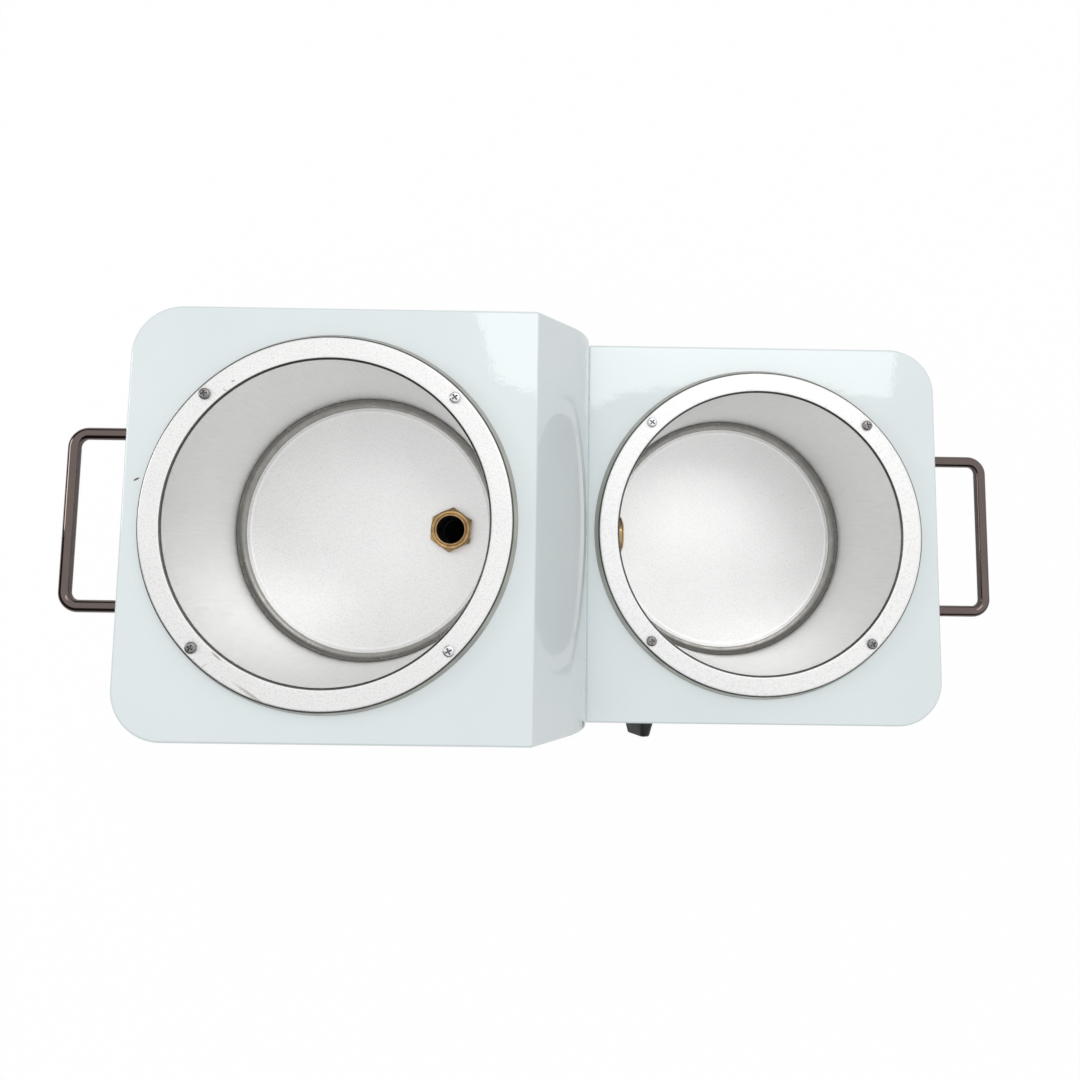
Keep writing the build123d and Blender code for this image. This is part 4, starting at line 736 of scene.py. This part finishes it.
rimScrew = {
    "headR": 3.6 * mm,
    "headHeight": 2.4 * mm,
    "shankR": 2 * mm,
    "turns": (38, 8, 62, 27, 17, 51, 5, 33),
    "tarnished": (1, 2, 4, 6, 7),
}
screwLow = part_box("rim_screws")[0].z
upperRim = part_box("upper_pot")[1].z
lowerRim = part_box("lower_pot")[1].z
screwLength = lowerRim - pot["dimple"] - screwLow
firstScrew = panScrew("rimScrewMaster", rimScrew["headR"], rimScrew["headHeight"], rimScrew["shankR"],
                      screwLength)
dress(firstScrew, finishes["steel"])
shadeRecess(firstScrew, rimScrew["headHeight"], Matrix.Identity(4))
rimScrews = []
for potNode, rim in (("upper_pot", upperRim), ("lower_pot", lowerRim)):
    centre = middleOf(potNode)
    for corner in range(4):
        turn = math.radians(45 + 90 * corner)
        number = len(rimScrews)
        screw = copyOf(firstScrew, f"rimScrew{number + 1}")
        spot = Vector((centre.x, centre.y, rim - pot["dimple"]))
        spot += Vector((math.cos(turn), math.sin(turn), 0)) * pot["screwR"]
        twist = Matrix.Rotation(math.radians(rimScrew["turns"][number]), 4, "Z")
        settle(screw, Matrix.Translation(spot) @ twist, 35)
        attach(screw, "case")
        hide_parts("rim_screws")
        screw.data.materials[0] = finishes["tarnished" if number in rimScrew["tarnished"] else "steel"]
        rimScrews.append(screw)
bpy.data.objects.remove(firstScrew)
print("rim screws in:", len(rimScrews))

# Rod handles, bent with two spins each
handle = {"rodR": 4 * mm, "bend": 9 * mm, "sides": 40, "bendSteps": 14}


def bendHandle(name, node, outward):
    low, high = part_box(node)
    h = handle
    z = (low.z + high.z) / 2
    nearY, farY = low.y + h["rodR"], high.y - h["rodR"]
    wallX = high.x if outward < 0 else low.x
    tipX = (low.x if outward < 0 else high.x) - outward * h["rodR"]
    deselectAll()
    bpy.ops.mesh.primitive_circle_add(vertices=h["sides"], radius=h["rodR"], fill_type="NGON",
                                      location=(wallX, nearY, z), rotation=(0, math.radians(90), 0))
    ob = nameNew(name)
    bpy.ops.object.transform_apply(location=True, rotation=True, scale=True)
    editAll()
    leg = tipX - outward * h["bend"] - wallX
    pull(leg, 0, 0)
    centreX = wallX + leg
    bpy.ops.mesh.spin(steps=h["bendSteps"], angle=math.radians(-90) * outward,
                      center=(centreX, nearY + h["bend"], z), axis=(0, 0, 1))
    pull(0, farY - nearY - 2 * h["bend"], 0)
    bpy.ops.mesh.spin(steps=h["bendSteps"], angle=math.radians(-90) * outward,
                      center=(centreX, farY - h["bend"], z), axis=(0, 0, 1))
    pull(-leg, 0, 0)
    closeMesh(merge=True)
    settle(ob, None, 50)
    putOn(ob, "case", finishes["chrome"], "handle_chrome", node)


bendHandle("leftHandle", "left_handle", -1)
bendHandle("rightHandle", "right_handle", 1)
print("handles bent")

# Control knobs: fluted skirt, moulded grip bar and a white pointer let into its top
knob = {
    "skirtR": 20 * mm,
    "lift": 0.8 * mm,
    "skirtHeight": 6 * mm,
    "flutes": 36,
    "fluteDepth": 0.7 * mm,
    "barLength": 36 * mm,
    "barWidth": 13 * mm,
    "topLength": 24 * mm,
    "topWidth": 8 * mm,
    "barRoot": 1 * mm,
    "barSoft": 1.1 * mm,
    "reach": 21.5 * mm,
    "groove": (1.6 * mm, 13 * mm, 1.2 * mm),
    "inlay": (1.5 * mm, 9.8 * mm, 0.55 * mm),
    "turnAtRest": {"upper": 0, "lower": -25},
}


def makeKnob(name):
    # Local z looks out of the panel, local y is where the pointer points
    k = knob
    outer, low, high = k["skirtR"], k["lift"], k["lift"] + k["skirtHeight"]
    skirt = [(outer - 3.2 * mm, high), (outer - 2.2 * mm, high - 0.35 * mm)]
    skirt += [(outer - 1.4 * mm, high - 1.3 * mm), (outer - 0.7 * mm, low + 1.6 * mm)]
    skirt += [(outer, low + 0.5 * mm), (outer, low), (outer - 2 * mm, low)]
    skirt += [(outer - 2.6 * mm, low + 2.6 * mm), (7 * mm, low + 2.6 * mm), (6.6 * mm, low), (3.2 * mm, low)]
    ob = turnOnLathe(name, skirt, 8 * k["flutes"])
    for corner in ob.data.vertices:
        away = corner.co.xy.length
        if away > outer - 2.3 * mm and low + 0.3 * mm < corner.co.z < high - 0.2 * mm:
            wave = (1 + math.cos(k["flutes"] * math.atan2(corner.co.y, corner.co.x))) / 2
            corner.co.xy *= (away - k["fluteDepth"] * wave ** 2) / away
    deselectAll()
    root = high - k["barRoot"]
    bpy.ops.mesh.primitive_circle_add(vertices=64, radius=k["barWidth"] / 2, fill_type="NGON",
                                      location=(0, 0, root), rotation=(0, 0, math.pi / 64))
    bar = nameNew("gripBar")
    bpy.ops.object.transform_apply(location=True, rotation=True, scale=True)
    editAll()
    rise = k["reach"] - root
    pull(0, 0, rise)
    share = k["topWidth"] / k["barWidth"]
    bpy.ops.transform.resize(value=(share, share, 1), center_override=(0, 0, k["reach"]))
    closeMesh()
    stretchLow = (k["barLength"] - k["barWidth"]) / 2
    stretchTop = (k["topLength"] - k["topWidth"]) / 2
    for corner in bar.data.vertices:
        up = (corner.co.z - root) / rise
        slide = stretchLow + (stretchTop - stretchLow) * up
        corner.co.y += slide if corner.co.y > 0 else -slide
    addBevel(bar, k["barSoft"], 4, 40)
    groove = block("groove", k["groove"], (0, k["topLength"] / 2 - 4.5 * mm, k["reach"]))
    combine(bar, groove, "DIFFERENCE")
    combine(ob, bar, "UNION")
    return ob


def makePointer(name):
    k = knob
    ob = block(name, k["inlay"], (0, k["topLength"] / 2 - 6 * mm, k["reach"] - 0.32 * mm))
    addBevel(ob, 0.15 * mm, 2)
    return ob


dialPrint = {
    "inner": 21.4 * mm,
    "outer": 23.6 * mm,
    "shortShare": 0.55,
    "wide": 0.55 * mm,
    "thin": 0.35 * mm,
    "thick": 0.04 * mm,
    "lift": 0.03 * mm,
    "numberR": 26 * mm,
    "numberSize": 3.6 * mm,
    "start": -135,
    "tickStep": 10,
    "numbers": 10,
}


def makeDial(name):
    # Ticks and plain numbers printed on the panel, 0 at lower left and on round the knob
    d = dialPrint
    parts = []
    for step in range(3 * d["numbers"] - 2):
        long = step % 3 == 0
        turn = math.radians(d["start"] + d["tickStep"] * step)
        length = (d["outer"] - d["inner"]) * (1 if long else d["shortShare"])
        tick = block("tick", (d["wide"] if long else d["thin"], length, d["thick"]), (0, 0, d["lift"]))
        out = Matrix.Translation((0, d["inner"] + length / 2, 0))
        tick.matrix_world = Matrix.Rotation(-turn, 4, "Z") @ out
        parts.append(tick)
    for step in range(d["numbers"]):
        turn = math.radians(d["start"] + 3 * d["tickStep"] * step)
        deselectAll()
        bpy.ops.object.text_add(location=(0, 0, 0))
        figure = bpy.context.object
        figure.data.body = str(step)
        figure.data.size = d["numberSize"]
        figure.data.extrude = d["thick"] / 2
        figure.data.align_x = "CENTER"
        figure.data.align_y = "CENTER"
        bpy.ops.object.convert(target="MESH")
        figure = bpy.context.object
        figure.location = (d["numberR"] * math.sin(turn), d["numberR"] * math.cos(turn), d["lift"])
        parts.append(figure)
    joinTo(parts[0], parts[1:])
    ob = nameNew(name)
    editAll()
    closeMesh(merge=True)
    return ob


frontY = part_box("upper_case")[0].y
for label in ("upper", "lower"):
    centre = middleOf(label + "_spindle")
    panel = facing((centre.x, frontY, centre.z), (0, -1, 0), (0, 0, 1))
    twist = Matrix.Rotation(math.radians(knob["turnAtRest"][label]), 4, "Z")
    body = label + "_knob"
    cap = makeKnob(label + "Knob")
    settle(cap, panel @ twist, 32)
    putOn(cap, body, finishes["knob"], "knob_plastic", label + "_knob")
    pointer = makePointer(label + "Pointer")
    settle(pointer, panel @ twist, 32)
    putOn(pointer, body, finishes["inlay"], "seat_white")
    dial = makeDial(label + "Dial")
    settle(dial, panel, 0)
    putOn(dial, "case", finishes["print"], "knob_plastic")
print("knobs and dials made")

# Rocker switches: rounded frame, clear red rocker with its two marks
rocker = {
    "width": 13 * mm,
    "height": 19.2 * mm,
    "wall": 1.2 * mm,
    "lip": 1.8 * mm,
    "frameT": 2 * mm,
    "tilt": 9,
    "top": 4.6 * mm,
    "fall": 2.2 * mm,
    "under": 3.5 * mm,
    "depth": 20 * mm,
    "wellDepth": 12 * mm,
    "blade": (4.8 * mm, 0.8 * mm, 7 * mm),
    "bladeAt": 5 * mm,
    "corner": 1.5 * mm,
    "soft": 0.5 * mm,
    "markT": 0.12 * mm,
    "markAt": 4.2 * mm,
}


def roundedSlab(name, width, height, low, high, corner, soft):
    slab = block(name, (width, height, high - low), (0, 0, (low + high) / 2))
    pick(slab)
    bpy.ops.object.mode_set(mode="EDIT")
    bpy.ops.mesh.select_mode(type="EDGE")
    bpy.ops.mesh.select_all(action="DESELECT")
    bpy.ops.object.mode_set(mode="OBJECT")
    for edge in slab.data.edges:
        a, b = [slab.data.vertices[i].co for i in edge.vertices]
        edge.select = abs(a.z - b.z) > (high - low) / 2
    bpy.ops.object.mode_set(mode="EDIT")
    bpy.ops.mesh.bevel(offset=corner, segments=8, affect="EDGES")
    bpy.ops.mesh.select_mode(type="VERT")
    bpy.ops.object.mode_set(mode="OBJECT")
    if soft:
        addBevel(slab, soft, 3, 60)
    return slab


def makeSwitchFrame(name):
    r = rocker
    width, height, lip = r["width"], r["height"], r["lip"]
    ob = roundedSlab(name, width + 2 * lip, height + 2 * lip, 0, r["frameT"], r["corner"], r["soft"])
    body = block("body", (width, height, r["depth"]), (0, 0, -r["depth"] / 2 + 0.01 * mm))
    combine(ob, body, "UNION")
    wellSize = (width - 2 * r["wall"], height - 2 * r["wall"], 16 * mm)
    well = block("well", wellSize, (0, 0, r["frameT"] + 8 * mm - r["wellDepth"]))
    combine(ob, well, "DIFFERENCE")
    for way in (-1, 1):
        blade = block("blade", r["blade"], (0, way * r["bladeAt"], -r["depth"] - r["blade"][2] / 2))
        ob = joinTo(ob, [blade])
    return ob


def makeRocker(name):
    # Two slightly hollow faces that meet at a ridge
    r = rocker
    reach = r["height"] / 2 - r["wall"] - 0.4 * mm
    half = r["width"] / 2 - r["wall"] - 0.3 * mm
    outline = [(0, r["top"])]
    for step in range(1, 7):
        share = step / 6
        y = share * (reach - 0.2 * mm)
        hollow = 0.25 * mm * math.sin(math.pi * share)
        outline.append((y, r["top"] - r["fall"] * share - hollow))
    edge = math.sqrt(reach ** 2 - (r["top"] - r["fall"]) ** 2)
    outline[-1] = (edge, r["top"] - r["fall"])
    for step in range(1, 7):
        z = (r["top"] - r["fall"]) + (-r["under"] - r["top"] + r["fall"]) * step / 6
        outline.append((math.sqrt(reach ** 2 - z ** 2), z))
    full = [(-y, z) for y, z in reversed(outline[1:])] + outline
    deselectAll()
    bpy.ops.mesh.primitive_circle_add(vertices=len(full), radius=1 * mm, fill_type="NGON",
                                      location=(0, 0, 0))
    ob = nameNew(name)
    for corner, (y, z) in zip(ob.data.vertices, full):
        corner.co = (-half, y, z)
    editAll()
    pull(2 * half, 0, 0)
    closeMesh()
    addBevel(ob, 0.4 * mm, 3, 50)
    return ob


def makeMark(name, ring):
    # A bar for on, a ring for off
    thick = rocker["markT"]
    if ring:
        return turnRing(name, [(1.5 * mm, 0), (1.5 * mm, thick), (1.05 * mm, thick), (1.05 * mm, 0)], 40)
    return block(name, (0.5 * mm, 3.2 * mm, thick), (0, 0, thick / 2))


for label in ("upper", "lower"):
    centre = middleOf(label + "_switch_frame")
    panel = facing((centre.x, frontY, centre.z), (0, -1, 0), (0, 0, 1))
    frameOb = makeSwitchFrame(label + "SwitchFrame")
    settle(frameOb, panel, 30)
    putOn(frameOb, "case", finishes["switch"], "switch_plastic", label + "_switch_frame")
    tip = Matrix.Rotation(math.radians(rocker["tilt"]), 4, "X")
    paddle = makeRocker(label + "Rocker")
    settle(paddle, panel @ tip, 30)
    putOn(paddle, label + "_rocker", finishes["rocker"], "rocker_plastic", label + "_rocker")
    slope = math.atan2(rocker["fall"], rocker["height"] / 2 - rocker["wall"])
    for way, ring in ((1, False), (-1, True)):
        level = rocker["top"] - rocker["fall"] * 0.52 - 0.2 * mm
        seat = Matrix.Translation((0, way * rocker["markAt"], level)) @ Matrix.Rotation(-way * slope, 4, "X")
        mark = makeMark(label + ("OffMark" if ring else "OnMark"), ring)
        settle(mark, panel @ tip @ seat, 30)
        putOn(mark, label + "_rocker", finishes["inlay"], "seat_white")
print("rockers made")

# Pilot lamps: a black bezel on a tube, and a domed amber lens
lamp = {
    "bezelR": 6.5 * mm,
    "bezelT": 1.5 * mm,
    "lensR": 4.6 * mm,
    "stand": 3.3 * mm,
    "bodyR": 5 * mm,
    "boreR": 4.75 * mm,
    "baseR": 4.7 * mm,
    "depth": 22 * mm,
    "blade": (0.8 * mm, 2.8 * mm, 6.4 * mm),
    "bladeAt": 2 * mm,
}
for label in ("upper", "lower"):
    spot = middleOf(label + "_lamp")
    panel = facing((spot.x, frontY, spot.z), (0, -1, 0), (0, 0, 1))
    bodyR, bezelR, bezelT, back = lamp["bodyR"], lamp["bezelR"], lamp["bezelT"], -lamp["depth"]
    bezel = turnRing(label + "Bezel", [
        (lamp["boreR"], back), (bodyR, back), (bodyR, 0), (bezelR, 0), (bezelR, bezelT * 0.6),
        (bezelR - 0.25 * mm, bezelT * 0.9), (bezelR - 0.7 * mm, bezelT),
        (4.9 * mm, bezelT), (lamp["baseR"], bezelT - 0.3 * mm)], 64)
    settle(bezel, panel, 35)
    putOn(bezel, "case", finishes["switch"], "switch_plastic", label + "_lamp")
    dome = [(0.4 * mm, lamp["stand"])]
    edge = bezelT * 0.6
    for step in range(1, 9):
        turn = math.radians(90 - 11 * step)
        dome.append((lamp["lensR"] * math.cos(turn), edge + (lamp["stand"] - edge) * math.sin(turn)))
    dome += [(lamp["lensR"], 0), (lamp["lensR"], -8 * mm)]
    lens = turnOnLathe(label + "Lens", dome, 48)
    settle(lens, panel, 30)
    putOn(lens, "case", finishes["lens"], "lamp_lens")
    blades = []
    for way in (-1, 1):
        blades.append(block("lampBlade", lamp["blade"], (way * lamp["bladeAt"], 0, back - 2.8 * mm)))
    basePath = [(lamp["baseR"], -8.2 * mm), (lamp["baseR"], back - 0.01 * mm)]
    base = turnOnLathe(label + "LampBase", basePath, 48)
    base = joinTo(base, blades)
    settle(base, panel, 30)
    putOn(base, "case", finishes["switch"], "switch_plastic")
print("lamps made")

# Valve lever: a flat steel arm with a dipped grip, held by a screw and washer
lever = {
    "hubR": 9 * mm,
    "length": 46 * mm,
    "width": 12 * mm,
    "edge": 0.4 * mm,
    "gripWall": 2.5 * mm,
    "gripLength": 36 * mm,
    "gripCorner": 6.2 * mm,
    "gripSoft": 2.6 * mm,
    "gripWaist": 0.07,
    "washerR": 5 * mm,
    "washerT": 0.8 * mm,
    "screwHeadR": 3.6 * mm,
    "screwHead": 2.4 * mm,
    "screwR": 2 * mm,
    "screwLength": 8 * mm,
}


def makeLever(name, thick):
    # Pulled out along local y from a round hub, local z looks out of the panel
    v = lever
    reach = v["length"] + v["width"] / 2
    ob = roundedSlab(name, v["width"], reach, 0, thick, v["width"] / 2 - 0.05 * mm, None)
    for corner in ob.data.vertices:
        corner.co.y += reach / 2 - 0.6 * mm
    deselectAll()
    middle = (0, 0, thick / 2)
    bpy.ops.mesh.primitive_cylinder_add(vertices=72, radius=v["hubR"], depth=thick, location=middle)
    hub = bpy.context.object
    combine(ob, hub, "UNION")
    addBevel(ob, v["edge"], 2, 50)
    return ob


def makeGrip(name, thick):
    v = lever
    low, high = -v["gripWall"], thick + v["gripWall"]
    width = v["width"] + 2 * v["gripWall"]
    ob = roundedSlab(name, width, v["gripLength"], low, high, v["gripCorner"], None)
    middle = v["length"] + v["width"] / 2 - v["gripLength"] / 2
    for corner in ob.data.vertices:
        corner.co.y += middle
    addBevel(ob, v["gripSoft"], 5, 60)
    # The vinyl has a slight waist, so both its ends stand proud
    for corner in ob.data.vertices:
        along = (corner.co.y - middle) / v["gripLength"] + 0.5
        swell = 1 - v["gripWaist"] * math.sin(math.pi * min(1, along * 1.15))
        corner.co.x *= swell
        corner.co.z = thick / 2 + (corner.co.z - thick / 2) * swell
    return ob


hubSpot = middleOf("lever_screw")
leverLow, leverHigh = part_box("valve_lever")
leverPlane = facing((hubSpot.x, leverHigh.y, hubSpot.z), (0, -1, 0), (0, 0, 1))
leverThick = leverHigh.y - leverLow.y
arm = makeLever("leverArm", leverThick)
settle(arm, leverPlane, 35)
putOn(arm, "valve_lever", finishes["satinSteel"], "lever_steel", "valve_lever")
dipped = makeGrip("leverGrip", leverThick)
settle(dipped, leverPlane, 40)
putOn(dipped, "valve_lever", finishes["grip"], "grip_vinyl", "lever_grip")
leverScrew = panScrew("leverScrew", lever["screwHeadR"], lever["screwHead"], lever["screwR"],
                      lever["screwLength"])
washerRing = turnRing("leverWasher", [
    (2.1 * mm, -lever["washerT"]), (lever["washerR"], -lever["washerT"]), (lever["washerR"], -0.15 * mm),
    (lever["washerR"] - 0.15 * mm, 0), (2.1 * mm, 0)], 56)
leverScrew = joinTo(leverScrew, [washerRing])
turnedHead = Matrix.Translation((0, 0, leverThick + lever["washerT"])) @ Matrix.Rotation(0.6, 4, "Z")
settle(leverScrew, leverPlane @ turnedHead, 35)
putOn(leverScrew, "valve_lever", finishes["steel"], "rim_screw_steel", "lever_screw")
shadeRecess(leverScrew, lever["screwHead"], leverPlane @ turnedHead)
print("lever fitted")

# Rubber feet: tapered, with a moulded rim and a recess for the screw
foot = {"r": 15 * mm, "lowR": 13.6 * mm, "recessR": 5.5 * mm, "recess": 7 * mm, "holeR": 2.25 * mm}
footLow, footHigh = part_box("rubber_feet")
footX, footTop = footHigh.x - foot["r"], footHigh.z
footPath = roundedPath([
    (foot["recessR"], 0, 0), (foot["lowR"], 0, 1.2 * mm), (foot["lowR"] + 0.5 * mm, 4 * mm, 0),
    (foot["lowR"] + 0.2 * mm, 5 * mm, 0), (foot["r"] - 0.1 * mm, footTop - 2 * mm, 0.5 * mm),
    (foot["r"], footTop - 0.6 * mm, 0), (foot["r"] - 0.6 * mm, footTop, 0), (foot["holeR"], footTop, 0),
    (foot["holeR"], foot["recess"], 0), (foot["recessR"], foot["recess"], 0.6 * mm)], 4)
number = 0
for x in (-footX, footX):
    for y in (footLow.y + foot["r"], footHigh.y - foot["r"]):
        number += 1
        rubber = turnRing(f"rubberFoot{number}", footPath, 64)
        settle(rubber, Matrix.Translation((x, y, 0)), 35)
        putOn(rubber, "case", finishes["rubber"], "foot_rubber", "rubber_feet")
print("feet on")

# Camera, straight over the warmer as the photograph was taken
camera = {
    "place": (-0.0132, -0.0140, 0.7968),
    "tilt": (0.102, -0.009, 0.014),
    "focal": 875 / 1080,
    "aim": (-0.00705, -0.0643),
}
cameraData = bpy.data.cameras.new("overhead")
cameraData.sensor_width = 36
cameraData.lens = camera["focal"] * 36
cameraData.shift_x, cameraData.shift_y = camera["aim"]
cameraData.clip_start = 0.01
cameraData.clip_end = 100
cameraOb = bpy.data.objects.new("overhead", cameraData)
bpy.context.scene.collection.objects.link(cameraOb)
tiltX, tiltY, tiltZ = camera["tilt"]
turned = Matrix.Rotation(tiltZ, 4, "Z") @ Matrix.Rotation(tiltY, 4, "Y") @ Matrix.Rotation(tiltX, 4, "X")
cameraOb.matrix_world = Matrix.Translation(camera["place"]) @ turned
bpy.context.scene.camera = cameraOb

# Studio: pale floor, soft overhead sky, a window behind the warmer and a small lamp at its left
studio = {
    "floorColour": (0.93, 0.93, 0.925),
    "floorSize": 30,
    "zenith": 1.0,
    "horizon": 0.12,
    "floorGlow": 0.97,
    "brightSide": (0.30, 0.26, 0.92),
    "glossLow": 0.04,
    "glossHigh": 0.94,
    "glossFrom": 0.3,
    "glossTo": 0.52,
    "windowAt": (0.50, 1.0, 2.15),
    "windowSize": (1.2, 0.9),
    "windowPower": 6.4,
    "stripAt": (-1.35, 0.24, 0.85),
    "stripSize": (0.34, 0.42),
    "stripPower": 2.4,
    "stripTurn": -63,
}


def lookAlong(tree, direction, aim):
    # 1 straight along aim, 0 square to it
    dot = addNode(tree, "VectorMath", {0: direction, 1: Vector(aim).normalized()}, "DOT_PRODUCT")
    return dot.outputs["Value"]


def mixNumbers(tree, factor, first, second):
    return addNode(tree, "Mix", {"Factor": factor, "A": first, "B": second}).outputs["Result"]


def makeSky():
    world = bpy.data.worlds.new("studioSky")
    bpy.context.scene.world = world
    world.use_nodes = True
    tree = world.node_tree
    background = tree.nodes["Background"]
    place = addNode(tree, "TexCoord", {}).outputs["Generated"]
    up = lookAlong(tree, place, (0, 0, 1))
    soft = spread(tree, up, studio["horizon"], studio["zenith"], -0.05, 0.9)
    bright = lookAlong(tree, place, studio["brightSide"])
    shiny = spread(tree, bright, studio["glossLow"], studio["glossHigh"],
                   studio["glossFrom"], studio["glossTo"])
    rays = addNode(tree, "LightPath", {}).outputs
    gloss = addNode(tree, "Math", {0: rays["Is Glossy Ray"], 1: rays["Is Transmission Ray"]}, "MAXIMUM")
    lit = mixNumbers(tree, gloss.outputs["Value"], soft, shiny)
    seen = mixNumbers(tree, rays["Is Camera Ray"], lit, 1)
    feed(tree, background, {"Strength": seen, "Color": (1, 1, 1, 1)})


def makeFloor():
    # White to the camera but for the soft shadow, plain pale paper to everything else
    deselectAll()
    bpy.ops.mesh.primitive_plane_add(size=studio["floorSize"], location=(0, 0, 0))
    floor = bpy.context.object
    floor.name = "studioFloor"
    finish, tree, skin = newFinish("paleFloor", studio["floorColour"], 0, 0.7)
    glow = addNode(tree, "Emission", {"Color": (1, 1, 1, 1), "Strength": 1})
    rays = addNode(tree, "LightPath", {})
    share = mixNumbers(tree, rays.outputs["Is Camera Ray"], 0, studio["floorGlow"])
    mix = addNode(tree, "MixShader", {"Fac": share, 1: skin.outputs["BSDF"], 2: glow.outputs["Emission"]})
    feed(tree, tree.nodes["Material Output"], {"Surface": mix.outputs["Shader"]})
    dress(floor, finish)


def makeLamp(name, at, size, power, turn):
    light = bpy.data.lights.new(name, "AREA")
    light.shape = "RECTANGLE"
    light.size, light.size_y = size
    light.energy = power
    lightOb = bpy.data.objects.new(name, light)
    bpy.context.scene.collection.objects.link(lightOb)
    lightOb.location = at
    lightOb.rotation_euler = (0, math.radians(turn), 0)


makeSky()
makeFloor()
makeLamp("window", studio["windowAt"], studio["windowSize"], studio["windowPower"], 0)
makeLamp("strip", studio["stripAt"], studio["stripSize"], studio["stripPower"], studio["stripTurn"])
bpy.context.scene.view_settings.view_transform = "Standard"
print("camera and studio ready")
